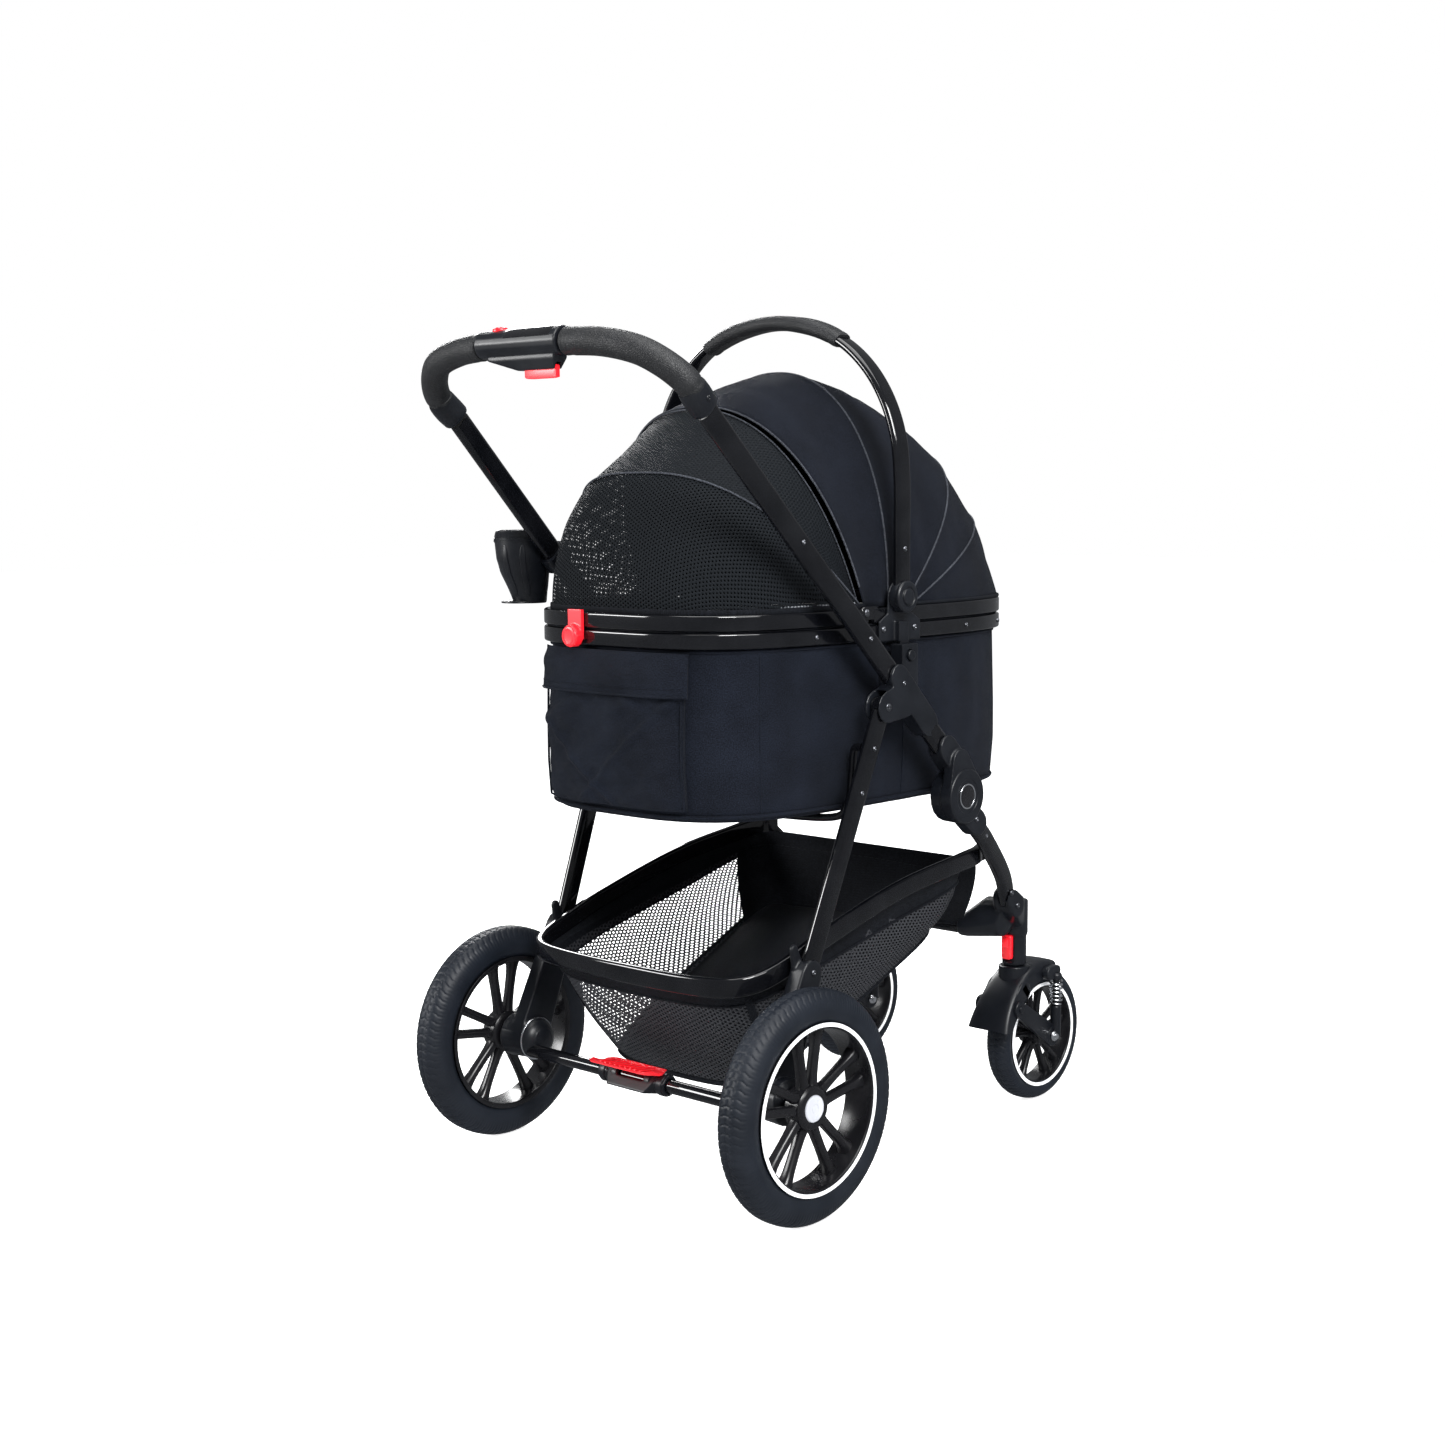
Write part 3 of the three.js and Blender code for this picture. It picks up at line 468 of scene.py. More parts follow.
def moulded(cad_node, material, voxel=1.3, rounds=5, keep=0.4):
    """A moulding's CAD shape with softened edges, standing for the plain node."""
    source = frame["nodes"][cad_node]
    ob = bpy.data.objects.new(f"{cad_node}_moulding", source.data.copy())
    scene.collection.objects.link(ob)
    ob.data.materials.clear()
    ob.data.materials.append(material)
    bm = bmesh.new()
    bm.from_mesh(ob.data)
    bmesh.ops.remove_doubles(bm, verts=bm.verts, dist=2e-6)
    bm.to_mesh(ob.data)
    bm.free()
    remesh = ob.modifiers.new("remesh", "REMESH")
    remesh.mode, remesh.voxel_size = "VOXEL", voxel / 1000 * 1
    soften = ob.modifiers.new("soften", "SMOOTH")
    soften.factor, soften.iterations = 0.5, rounds
    thin = ob.modifiers.new("thin", "DECIMATE")
    thin.ratio = keep
    dg = bpy.context.evaluated_depsgraph_get()
    mesh = bpy.data.meshes.new_from_object(ob.evaluated_get(dg))
    ob.modifiers.clear()
    ob.data = mesh
    mesh.materials.clear()
    mesh.materials.append(material)
    smooth_by_angle(mesh, 60)
    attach(ob, source["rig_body"])
    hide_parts(cad_node)
    return ob


def enamel_tube(name, shape, body, cad_node, side=1):
    """A length of the painted frame, standing for the plain node."""
    return build(name, shape, ENAMEL, body, [cad_node], side)


def screw(name, at, normal, body, radius=3.4, material=STEEL, side=1):
    """A pan head with a cross recess, standing on a surface."""
    n = Vector(normal).normalized()
    turn = n.to_track_quat("Z", "Y").to_matrix()
    profile = [(0.4, radius), (0.9, radius * 0.92), (1.5, radius * 0.62), (1.7, radius * 0.34)]
    rings = []
    for h, r in profile:
        ring = []
        for i in range(24):
            t = i / 24 * 2 * math.pi
            dip = 0.9 if abs(math.sin(2 * t)) < 0.35 and r < radius * 0.7 else 0.0
            ring.append(Vector((r * math.cos(t), r * math.sin(t), h - dip)))
        rings.append(ring)
    foot = [(radius * math.cos(i / 24 * 2 * math.pi), radius * math.sin(i / 24 * 2 * math.pi)) for i in range(24)]
    rings.insert(0, [Vector((a, b, -0.6)) for a, b in foot])
    rings.append([Vector((0, 0, 0.6))] * 24)
    pts = np.array([[(turn @ p) + Vector(at) for p in ring] for ring in rings])
    return build(name, grid(pts, wrap=True), material, body, side=side)


def pairwise(make):
    for side, word in SIDES:
        make(side, word)


# ---------- upper frame ----------
def along_tube(t):
    return TUBE_TOP + (TUBE_END - TUBE_TOP) * t


def main_tubes(side, word):
    path = [along_tube(t) for t in np.linspace(0, 1, 12)]
    enamel_tube(f"main_tube_{word}_enamel", sweep(path, oval(16, 30, 40), (1, 0, 0)), "upper_frame",
                f"main_tube_{word}", side)
    for k, t in enumerate((0.345, 0.62)):
        at = along_tube(t) + (8.2, 0, 0)
        screw(f"tube_screw_{k}_{word}", at, (1, 0, 0), "upper_frame", 3.4, side=side)


HANDLE_HALF = [TUBE_TOP - 0.008 * (TUBE_END - TUBE_TOP), (222, 127, 996), (219, 141, 1011), (202, 157, 1029),
               (176, 170, 1044), (134, 177, 1054), (90, 181, 1058)]
HANDLE_PATH = catmull([*HANDLE_HALF, (0, 185, 1060), *[(-x, y, z) for x, y, z in HANDLE_HALF[::-1]]], 12)


def handle():
    enamel_tube("handle_bar", sweep(HANDLE_PATH, circle(11, 24), (0, 1, 0)), "upper_frame", "handle_tube")
    for side, word in SIDES:
        edge = 74.6 if side > 0 else 68.6
        path = HANDLE_PATH if side > 0 else HANDLE_PATH[::-1]
        keep = path[path[:, 0] * side > edge]
        d = run_of(keep)
        at = np.linspace(30, d[-1], 90)
        fine = point_at(keep, d, at)
        k = np.ones(len(fine))
        for ring in (at[-1] - 7, at[-1] - 12, at[0] + 6):
            k -= 0.055 * np.exp(-(((at - ring) / 1.6) ** 2))
        k[0], k[-1] = 0.93, 0.93
        build(f"grip_{word}_foam", sweep(fine, circle(17, 36), (0, 1, 0), scale=k), GRIP, "upper_frame",
              [f"handle_grip_{word}"])
        cuff = point_at(keep, d, np.linspace(0, 34, 14))
        size = 1 + 0.05 * np.sin(np.linspace(0, math.pi, 14))
        size[0], size[-1] = 0.94, 0.97
        build(f"grip_{word}_cuff", sweep(cuff, oval(30, 37, 36), (1, 0, 0), scale=size), SATIN, "upper_frame")
        middle = cuff[6]
        screw(f"grip_{word}_rivet", (middle[0] + side * 15.4, middle[1], middle[2]), (side, 0, 0), "upper_frame",
              3.6, SATIN)


def console():
    moulded("handle_console", SATIN, 1.1, 4, 0.5)
    y, z = 185.0, 1060.0
    rows = []
    for x in np.linspace(-64, 28, 24):
        fall = 1 - 0.1 * ((x + 18) / 46) ** 8
        rows.append([(x, y - 1 + 17.9 * fall * math.sin(t), z + 17.9 * fall * math.cos(t))
                     for t in np.linspace(-1.25, 1.25, 20)])
    build("console_top_panel", grid(rows, flip=True), GLOSS_PLASTIC, "upper_frame")
    for k, x in enumerate((-46, 6)):
        for j, dy in enumerate((-11.5, 6.2)):
            screw(f"console_screw_{k}_{j}", (x, y + dy, z - 19.2), (0, -0.5 if j == 0 else 0.5, -1), "upper_frame",
                  3.0, SATIN)
    outline = soft_outline([(-56.5, -42), (-56.5, -27), (-1.5, -27), (-1.5, -42), (-8, -43.2), (-50, -43.2),
                            (-56.5, -42)], 3)
    lever = [[(x, y + w * 3.1 - 1, z + h) for x, h in outline] for w in (-1, -0.92, 0.92, 1)]
    for side in (0, 3):
        lever[side] = [(a * 0.97 - 0.9, b, (c - z + 34) * 0.9 - 34 + z) for a, b, c in lever[side]]
    verts, faces, uvs = grid(lever, flip=True)
    m = len(outline)
    faces += [list(range(m - 1)), list(range(3 * m, 4 * m - 1))[::-1]]
    uvs += [[(0, 0)] * (m - 1)] * 2
    build("fold_lever_blade", (verts, faces, uvs), RED, "lever", ["fold_lever"])
    knob = soft_outline([(13.6, 0.01), (13.6, 9.4), (18.4, 9.4), (20.6, 6.5), (20.2, 0.01)], 1.6)
    build("fold_slider_knob", turned([(z + h, r) for h, r in knob], (44, y - 1, 0), "z", 40), RED, "slider",
          ["fold_slider"])


CUP_AT, CUP_LOW, CUP_HIGH = (276.0, -50.0), 733.0, 832.0
CUP_BACK = np.array((-0.73, -0.68))  # the bucket stays straight on this side and narrows on the other


def cup_place(h, k, t, dip=0.0):
    """A point of the bucket: h up its side, k out from its middle, t round it."""
    r = float(np.interp(h, (0, 0.05, 0.2, 0.42, 0.62, 1.0), (23.0, 23.4, 27.0, 33.4, 36.4, 38.0)))
    x, y = np.array(CUP_AT) + CUP_BACK * (38.0 - r) * 0.62
    return (x + r * k * math.cos(t), y + r * k * math.sin(t), CUP_LOW + (CUP_HIGH - CUP_LOW) * h - dip)


def cup():
    profile = [(0, 0.0), (0, 0.94), (0.012, 0.985), (0.04, 1.0), *[(h, 1.0) for h in np.linspace(0.08, 0.94, 18)],
               (0.975, 1.035), (1.0, 1.03),
               (1.0, 0.985), (0.97, 0.95), (0.6, 0.94), (0.2, 0.92), (0.06, 0.86), (0.05, 0.0)]
    rows = []
    for h, k in profile:
        row = []
        for t in around(120):
            notch = 1 / (1 + (math.sin(t - 0.9) / 0.33) ** 6)
            row.append(cup_place(h, k, t, 13 * notch * max(0.0, (h - 0.55) / 0.45)))
        rows.append(row)
    body = grid(rows, wrap=True)
    ribs = []
    for turn in (0.2, 1.7, 2.4, 3.6, 5.3):
        path = [cup_place(h, 1.0, turn) for h in np.linspace(0.1, 0.8, 12)]
        ribs.append(sweep(path, rounded(2.6, 8, 1.2, 3), (math.cos(turn), math.sin(turn), 0),
                          scale=[0.4, 0.8, *[1] * 8, 0.8, 0.4]))
    belt = ((0.86, 0.99), (0.865, 1.03), (0.895, 1.03), (0.9, 0.99))
    ribs.append(grid([[cup_place(h, k, t) for t in around(80)] for h, k in belt], wrap=True))
    arm = sweep([(264, -56, 796), (250, -60, 796), (236, -64, 796)], rounded(16, 20, 4), (0, 1, 0))
    mid = along_tube(0.404)
    clamp = sweep([mid + (TUBE_TOP - TUBE_END) / 618 * d for d in np.linspace(-11, 11, 8)], rounded(25, 40, 8),
                  (1, 0, 0))
    foot = lathe([(733.2, 0.01), (733.2, 25), (736.4, 24), (736.4, 0.01)], (277, -44, 0), "z", 48)
    build("cup_shell", merge(body, *ribs, arm, clamp, foot), SATIN, "upper_frame", ["cup_holder"])


def pivot_disc(side, word):
    y, z = HINGE
    face = soft_outline([(246.2, 0.01), (246.2, 36.2), (263.5, 36.2), (265, 34), (265.2, 23), (264.2, 22),
                         (264.2, 17.6)], 1.4)
    build(f"hinge_cover_{word}", turned([*face, (262.5, 17), (262.5, 0.01)], (0, y, z), "x", 72), SATIN,
          "upper_frame", side=side)
    ring = soft_outline([(262.8, 16.9), (265.2, 16.9), (265.2, 14.6), (262.8, 14.6), (262.8, 16.9)], 0.6)
    build(f"hinge_ring_{word}", turned(ring, (0, y, z), "x", 72), SILVER, "upper_frame", side=side)
    cap = soft_outline([(262.4, 14.5), (264.6, 14.5), (265.4, 11), (265.6, 0.01)], 1.2)
    build(f"hinge_cap_{word}", turned(cap, (0, y, z), "x", 60), GLOSS_PLASTIC, "upper_frame", side=side)
    moulded(f"hinge_socket_{word}", SATIN)
    moulded(f"hinge_disc_{word}", SATIN)
    screw(f"hinge_arm_screw_{word}", (249.2, -379, 447), (1, 0, 0), "front_frame", 3.6, side=side)


def tube_brackets(side, word):
    moulded(f"tube_bracket_{word}", SATIN)
    y, z = LEG_PIVOT
    screw(f"bracket_pivot_{word}", (251.2, y, z), (1, 0, 0), "upper_frame", 5.2, side=side)
    upper = along_tube((975 - 640) / 445)
    screw(f"bracket_rivet_{word}", (251.2, upper[1], upper[2]), (1, 0, 0), "upper_frame", 3.2, side=side)
    button = soft_outline([(222.6, 0.01), (222.6, 7.1), (231.6, 7.1), (232.6, 5.6), (232.2, 0.01)], 0.9)
    build(f"release_button_{word}_cap", turned(button, (0, -262, 672), "x", 36), SATIN, f"button_{word}",
          [f"release_button_{word}"], side)


# ---------- front frame and casters ----------
FRONT_LEG = catmull([(238, -366, 459), (229, -404, 433), (220, -441, 405), (204, -500, 351), (193, -527, 310)], 8)


def front_legs(side, word):
    enamel_tube(f"front_leg_{word}_enamel", sweep(FRONT_LEG, oval(16, 28, 40), (1, 0, 0)), "front_frame",
                f"front_leg_{word}", side)
    screw(f"front_leg_screw_{word}", (231.5, -425, 417), (1, 0, 0), "front_frame", 3.2, side=side)
    moulded(f"front_knuckle_{word}", SATIN, 1.4, 16)
    for k, (y, z) in enumerate(((-534, 302), (-519, 322))):
        screw(f"knuckle_screw_{k}_{word}", (207.4, y, z), (1, 0, 0), "front_frame", 4.0, side=side)
    y = CASTER_Y + 13
    slab = sweep([(169, y + 0.2, 233), (169, y + 1, 233), (169, y + 7, 233), (169, y + 8, 233)],
                 rounded(15.4, 35, 3), (1, 0, 0), scale=[0.94, 1, 1, 0.93])
    knob = sweep([(169, y + 7, 239.5), (169, y + 10, 239.5), (169, y + 11, 239.5)], rounded(11, 14, 3), (1, 0, 0),
                 scale=[1, 1, 0.8])
    build(f"caster_lock_{word}_tab", merge(slab, knob), RED, f"lock_{word}", [f"caster_lock_{word}"],
          side)


def crossbar():
    path = [(x, -523, 264) for x in np.linspace(-118, 118, 12)]
    enamel_tube("crossbar_enamel", sweep(path, oval(14, 24, 40), (0, 1, 0)), "front_frame", "front_crossbar")
    rows = []
    for v in np.linspace(0, 1, 22):
        half = 186 - 66 * v**1.4
        sag = 7 * math.sin(math.pi * v)
        row = []
        for u in np.linspace(-1, 1, 50):
            fold = 1.6 * wobble(u * 2.4, v * 1.6, 3.0)
            row.append((half * u, -462 - 54 * v + (sag + fold) * (1 - u * u), 374 - 108 * v))
        rows.append(row)
    apron = build("front_apron_cloth", grid(rows), WEBBING, "front_frame")
    for k, (v, half) in enumerate(((0.0, 186), (1.0, 120))):
        edge = [(half * u, -462 - 54 * v, 374 - 108 * v) for u in np.linspace(-1, 1, 40)]
        build(f"front_apron_hem_{k}", sweep(edge, circle(2.2, 10), (0, 0, 1)), WEBBING, "front_frame")


# ---------- casters ----------
def fender():
    """A curved hood over the back and top of the wheel: its lower back end flares, its side skirts taper."""
    rows = []
    for k in np.linspace(0, 1, 34):
        a = math.radians(12 + 89 * k)
        flare = max(0.0, (0.42 - k) / 0.42) ** 1.6
        end = math.sin(math.pi * min(max(k, 0.03), 0.97)) ** 0.35
        outer = 105.4 + 7.4 * (end if k > 0.5 else 1.0) + 5.5 * flare
        half = 28.4 * (0.8 + 0.2 * end if k > 0.5 else 1.0) + 6.5 * flare
        skirt = 86 + 16 * (1 - end) + 7 * flare
        inner = 104.6 + 5.5 * flare
        section = []
        for u in np.linspace(0, 1, 13):
            t = math.pi * u
            x = math.copysign(abs(math.cos(t)) ** 0.5, math.cos(t)) * half
            section.append((x, outer - 9 + 9 * math.sin(t) ** 0.6))
        loop = [(half, skirt), *section, (-half, skirt), (-half + 3.6, skirt), (-half + 3.8, inner - 6),
                (-half + 8, inner), (half - 8, inner),
                (half - 3.8, inner - 6), (half - 3.6, skirt)]
        rows.append([(CASTER_X + x, FRONT_Y + r * math.cos(a), FRONT_Z + r * math.sin(a)) for x, r in loop])
    return capped(rows)


def plate_link(x0, x1, a, ra, b, rb, steps=10):
    """A plate between two round ends in the side view, its edges eased."""
    (ay, az), (by, bz) = a, b
    turn = math.atan2(bz - az, by - ay)
    spread = math.acos(max(-1.0, min(1.0, (ra - rb) / math.hypot(by - ay, bz - az))))
    round_a = np.linspace(turn + spread, turn + 2 * math.pi - spread, steps * 2)
    round_b = np.linspace(turn - spread, turn + spread, steps)
    ring = [(ay + ra * math.cos(t), az + ra * math.sin(t)) for t in round_a]
    ring += [(by + rb * math.cos(t), bz + rb * math.sin(t)) for t in round_b]
    mid = np.mean(ring, axis=0)
    rows = []
    for x, pull in ((x0, 1.2), (x0 + 0.5, 0.35), (x0 + 1.4, 0.0), (x1 - 1.4, 0.0), (x1 - 0.5, 0.35), (x1, 1.2)):
        rows.append([(x, *(np.array(p) - (np.array(p) - mid) / np.linalg.norm(np.array(p) - mid) * pull))
                     for p in ring])
    return capped(rows)


STRUT_Y, STRUT_X = -634, (204.4, 133.6)
COIL, WIRE, COIL_TURNS, COIL_FOOT, COIL_RISE = 8.2, 1.6, 6.0, 143.5, 34.0


def casters(side, word):
    pivot, eye = (-547, 150), (FRONT_Y, FRONT_Z)
    neck = soft_outline([(178, 0.01), (178, 24), (186, 22.4), (203.4, 22.2), (204.6, 20.5), (204.6, 0.01)], 1.2)
    parts = [fender(), turned(neck, (CASTER_X, CASTER_Y, 0), "z", 48)]
    for x0, x1 in ((130.4, 142), (196, 207.6)):
        near = 1.0 if x0 > 190 else 0.8
        parts.append(plate_link(x0, x1, (STRUT_Y, 192), 8 * near, (-618, 190), 9.5 * near))
        pin = max(x0, 137)
        parts.append(lathe([(pin, 0.01), (pin, 5), (x1, 5), (x1, 0.01)], (0, *pivot), "x", 24))
    for x0, x1 in ((140.6, 145.2), (192.8, 197.4)):
        parts.append(plate_link(x0, x1, pivot, 12.5, (-568, 172), 14))
    build(f"caster_fork_{word}_hood", merge(*parts), SATIN, f"caster_{word}", [f"caster_fork_{word}"],
          side)
    arms = [lathe([(132, 0.01), (132, 6), (206, 6), (206, 0.01)], (0, *eye), "x", 24)]
    for x0, x1, x in ((133, 139.6, STRUT_X[1]), (198.4, 205, STRUT_X[0])):
        arms.append(plate_link(x0, x1, pivot, 11.4, eye, 15))
        lower = [(FRONT_Z, 0.01), (FRONT_Z, 7.6), (139, 7.6), (141.4, 6.0), (141.4, 0.01)]
        arms.append(lathe(lower, (x, STRUT_Y, 0), "z", 28))
        collar = [(x0 - 0.4, 9.5), (x0 - 0.4, 14.4), (x1 + 0.4, 14.4), (x1 + 0.4, 9.5)]
        arms.append(lathe(collar, (0, *eye), "x", 36, 0.8))
    build(f"swing_arm_{word}_plates", merge(*arms), SATIN, f"arm_{word}", [f"swing_arm_{word}"], side)
    screw(f"arm_bolt_{word}", (205.8, *pivot), (1, 0, 0), f"caster_{word}", 4.2, SATIN, side)
    for k, x in enumerate(STRUT_X):
        t = np.linspace(0, COIL_TURNS * 2 * math.pi, int(COIL_TURNS * 18))
        coil = np.stack([x + COIL * np.cos(t), STRUT_Y + COIL * np.sin(t), COIL_FOOT + COIL_RISE * t / t[-1]],
                        axis=1)
        wound = build(f"spring_{k}_{word}", sweep(coil, circle(WIRE, 8), (0, 0, 1)), SILVER, f"caster_{word}",
                      [f"strut_spring_{word}"] if k == 0 else (), side)
        damper = lathe([(141, 0.01), (141, 4.4), (184, 4.4), (184, 0.01)], (x, STRUT_Y, 0), "z", 20)
        build(f"damper_{k}_{word}", damper, SATIN, f"caster_{word}", side=side)
        seat = lathe([(179.4, 0.01), (179.4, 8.8), (186, 8.8), (189, 6.5), (189, 0.01)], (x, STRUT_Y, 0), "z", 28)
        build(f"spring_seat_{k}_{word}", seat, SATIN, f"caster_{word}", side=side)
        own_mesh(wound)
    for k, (x, n) in enumerate(((205.4, 1), (132.6, -1))):
        nut = soft_outline([(0, 0.01), (0, 7.4), (1.2, 7.6), (3.6, 6.4), (4.2, 4.4), (6.2, 4.2), (6.6, 0.01)], 0.5)
        build(f"axle_nut_{k}_{word}", turned([(x + n * h, r) for h, r in nut], (0, FRONT_Y, FRONT_Z), "x", 30),
              SILVER, f"arm_{word}", side=side)


# ---------- wheels ----------
def tread_cut(across, high, cell, lean):
    """How deep the tread is cut at a place: grooves round it, slanted cuts across, fine ribs on the shoulders."""
    if high > 0.74:
        if across < 0.05 or 0.3 < across < 0.37:
            return 1.2
        return 0.9 if (cell + lean) % 1 < 0.2 and across < 0.9 else 0.0
    if high > 0.5:
        return 0.5 if cell % 0.5 < 0.2 else 0.0
    return 0.45 if 0.3 < high < 0.335 or 0.4 < high < 0.43 else 0.0


def tyre(name, centre, radius, seat, width, blocks, body, cad):
    """A tyre with rows of tread blocks and ribbed shoulders."""
    per = 10
    w, h, sides = width / 2, radius - seat, blocks * per
    outline = soft_outline([(-w * 0.72, seat), (-w * 0.9, seat + h * 0.14), (-w, seat + h * 0.42),
                            (-w * 0.88, seat + h * 0.74), (-w * 0.5, radius - 1.2), (0, radius - 0.2),
                            (w * 0.5, radius - 1.2), (w * 0.88, seat + h * 0.74),
                            (w, seat + h * 0.42), (w * 0.9, seat + h * 0.14), (w * 0.72, seat)], 6, 4)
    dense = []
    for a, b in zip(outline, outline[1:]):
        steps = max(1, int(np.linalg.norm(np.subtract(b, a)) / 1.7))
        dense += [np.array(a) + (np.array(b) - a) * k / steps for k in range(steps)]
    dense.append(np.array(outline[-1]))
    t = around(sides)
    pts = np.zeros((len(dense), sides, 3))
    for j, (x, r) in enumerate(dense):
        across, high = abs(x) / w, (r - seat) / h
        cell = np.arange(sides) / per
        cut = np.array([tread_cut(across, high, c % 1, across * 1.3 + (0.5 if across > 0.33 else 0))
                        for c in cell[:per]] * blocks)
        pts[j] = np.stack([np.full(sides, x), (r - cut) * np.cos(t), (r - cut) * np.sin(t)], axis=1)
    shape = grid(pts + np.asarray(centre), wrap=True, flip=True)
    ring = np.stack([np.zeros(sides), (seat + 0.2) * np.cos(t), (seat + 0.2) * np.sin(t)], axis=1)
    inner = np.array([ring + (s * w * 0.72, 0, 0) for s in (1, -1)])
    back = grid(inner + np.asarray(centre), wrap=True, flip=True)
    build(name, merge(shape, back), TYRE, body, [cad], sharp=28)


def spoke(turn, lean, hub, reach, thick, wide):
    """One spoke: a rounded blade that flares where it meets the hub and the rim."""
    rows = []
    for k in np.linspace(0, 1, 13):
        r = hub * 0.55 + (reach - hub * 0.55) * k
        sway = lean * (hub * 0.2 + (reach * 0.2 - hub * 0.2) * k)
        flare = 1 + 0.75 * abs(2 * k - 1) ** 5
        t, w = thick * (0.88 + 0.12 * abs(2 * k - 1)) * min(flare, 1.25), wide * flare
        rows.append([(a, sway + b, r) for a, b in rounded(t, w, min(t, w) * 0.42, 4)])
    pts = np.array(rows)
    c, s = math.cos(turn), math.sin(turn)
    y, z = pts[:, :, 1].copy(), pts[:, :, 2].copy()
    pts[:, :, 1], pts[:, :, 2] = y * c - z * s, y * s + z * c
    return grid(pts, wrap=True)


def wheel(name, centre, seat, width, hub, hub_in, hub_out, thick, wide, body, cad, out, bright):
    """Rim barrel, ten spokes in five pairs, hub, and a bright ring on each side in bright. out is +1 or -1."""
    w = width / 2
    barrel = soft_outline([(-w * 0.8, seat - 1), (-w * 0.94, seat + 1.6), (-w * 0.97, seat - 0.6),
                           (-w * 0.9, seat - 5.6), (w * 0.9, seat - 5.6), (w * 0.97, seat - 0.6),
                           (w * 0.94, seat + 1.6), (w * 0.8, seat - 1),
                           (-w * 0.8, seat - 1)], 1.0)
    hub_line = soft_outline([(hub_in, 0.01), (hub_in, hub * 0.84), (hub_in + 2.5, hub), (hub_out - 3, hub),
                             (hub_out, hub * 0.86),
                             (hub_out, hub * 0.62), (hub_out - 1.2, hub * 0.58), (hub_out - 1.2, 0.01)], 1.2)
    parts = [turned([(out * x, r) for x, r in barrel], (0, 0, 0), "x", 96),
             turned([(out * x, r) for x, r in hub_line], (0, 0, 0), "x", 48)]
    for i in range(5):
        for lean in (-1, 1):
            parts.append(spoke(i / 5 * 2 * math.pi, lean, hub, seat - 5, thick, wide))
    whole = merge(*parts)
    build(name, (np.array(whole[0]) + centre, whole[1], whole[2]), WHEEL_PLASTIC, body, [cad])
    for face in bright:
        x = face * w * 0.94
        ring = soft_outline([(x, seat + 1.9), (x + face * 1.1, seat + 1.6), (x + face * 1.2, seat - 2.8),
                             (x, seat - 3.2), (x, seat + 1.9)], 0.4)
        build(f"{name}_ring_{'out' if face == out else 'in'}", turned(ring, centre, "x", 120), WHITE_RING, body)


def rear_wheels(side, word):
    centre = np.array((side * REAR_X, 0, REAR_Z))
    body = f"rear_wheel_{word}"
    tyre(f"rear_tyre_{word}_tread", centre, 145, 104, 47, 84, body, f"rear_tyre_{word}")
    wheel(f"rear_wheel_{word}_spokes", centre, 104, 47, 28, -14, 13, 15, 12.5, body, f"rear_rim_{word}", side,
          (side,))
    cap = soft_outline([(11.4, 16.6), (13.4, 16.6), (14.6, 15.2), (15.0, 12.6), (14.4, 12.2), (14.4, 0.01)], 0.8)
    build(f"rear_cap_{word}", turned([(side * x, r) for x, r in cap], centre, "x", 60), SILVER_PAINT, body)
    disc = soft_outline([(14.2, 6.0), (15.2, 5.4), (15.2, 0.01)], 0.5)
    build(f"rear_cap_boss_{word}", turned([(side * x, r) for x, r in disc], centre, "x", 36), SILVER_PAINT, body)
    for i in range(5):
        t = (i + 0.5) / 5 * 2 * math.pi
        at = centre + (side * 11.2, -22.5 * math.sin(t), 22.5 * math.cos(t))
        screw(f"rear_bolt_{i}_{word}", at, (side, 0, 0), body, 3.0, SATIN)


def front_wheels(side, word):
    centre = np.array((side * CASTER_X, FRONT_Y, FRONT_Z))
    body = f"front_wheel_{word}"
    tyre(f"front_tyre_{word}_tread", centre, 96.5, 74, 38, 62, body, f"front_tyre_{word}")
    wheel(f"front_wheel_{word}_spokes", centre, 74, 38, 17, -17, 17, 12, 9.0, body, f"front_rim_{word}", side,
          (1, -1))


# ---------- rear frame ----------
def rear_legs(side, word):
    top, foot = np.array((240.0, *LEG_PIVOT)), np.array((223.5, -66.0, 292.0))
    path = [top + (foot - top) * t for t in np.linspace(0.02, 1, 10)]
    enamel_tube(f"rear_leg_{word}_enamel", sweep(path, oval(14, 28, 40), (1, 0, 0)), "rear_frame",
                f"rear_leg_{word}", side)
    for k, t in enumerate((0.16, 0.33)):
        at = top + (foot - top) * t + (7.1, 0, 0)
        screw(f"rear_leg_screw_{k}_{word}", at, (1, 0, 0), "rear_frame", 3.4, side=side)
    eye = lathe([(232.4, 0.01), (232.4, 14), (247.6, 14), (247.6, 0.01)], (0, *LEG_PIVOT), "x", 40, 1.5)
    build(f"rear_leg_{word}_eye", eye, ENAMEL, "rear_frame", side=side)


def rear_hubs(side, word):
    moulded(f"rear_hub_{word}", SATIN, 1.4, 14)
    ball = [(190.5 + 17 * (1 - math.cos(t)), 27.2 * math.sin(t)) for t in np.linspace(0.02, 1.45, 14)]
    build(f"hub_cap_{word}", turned([*ball, (206, 27.2), (206, 0.01)], (0, 0, REAR_Z), "x", 56), SATIN,
          "rear_frame", side=side)
    ring = soft_outline([(206.4, 27.0), (206.4, 28.8), (208.2, 29.4), (208.2, 27.0), (206.4, 27.0)], 0.3)
    build(f"hub_ring_{word}", turned(ring, (0, 0, REAR_Z), "x", 60), SILVER, "rear_frame", side=side)
    screw(f"hub_foot_screw_{word}", (235.2, -63, 292), (1, 0, 0), "rear_frame", 3.8, side=side)
    screw(f"hub_foot_rivet_{word}", (211.6, -60, 282), (-1, 0, 0), "rear_frame", 3.4, side=side)


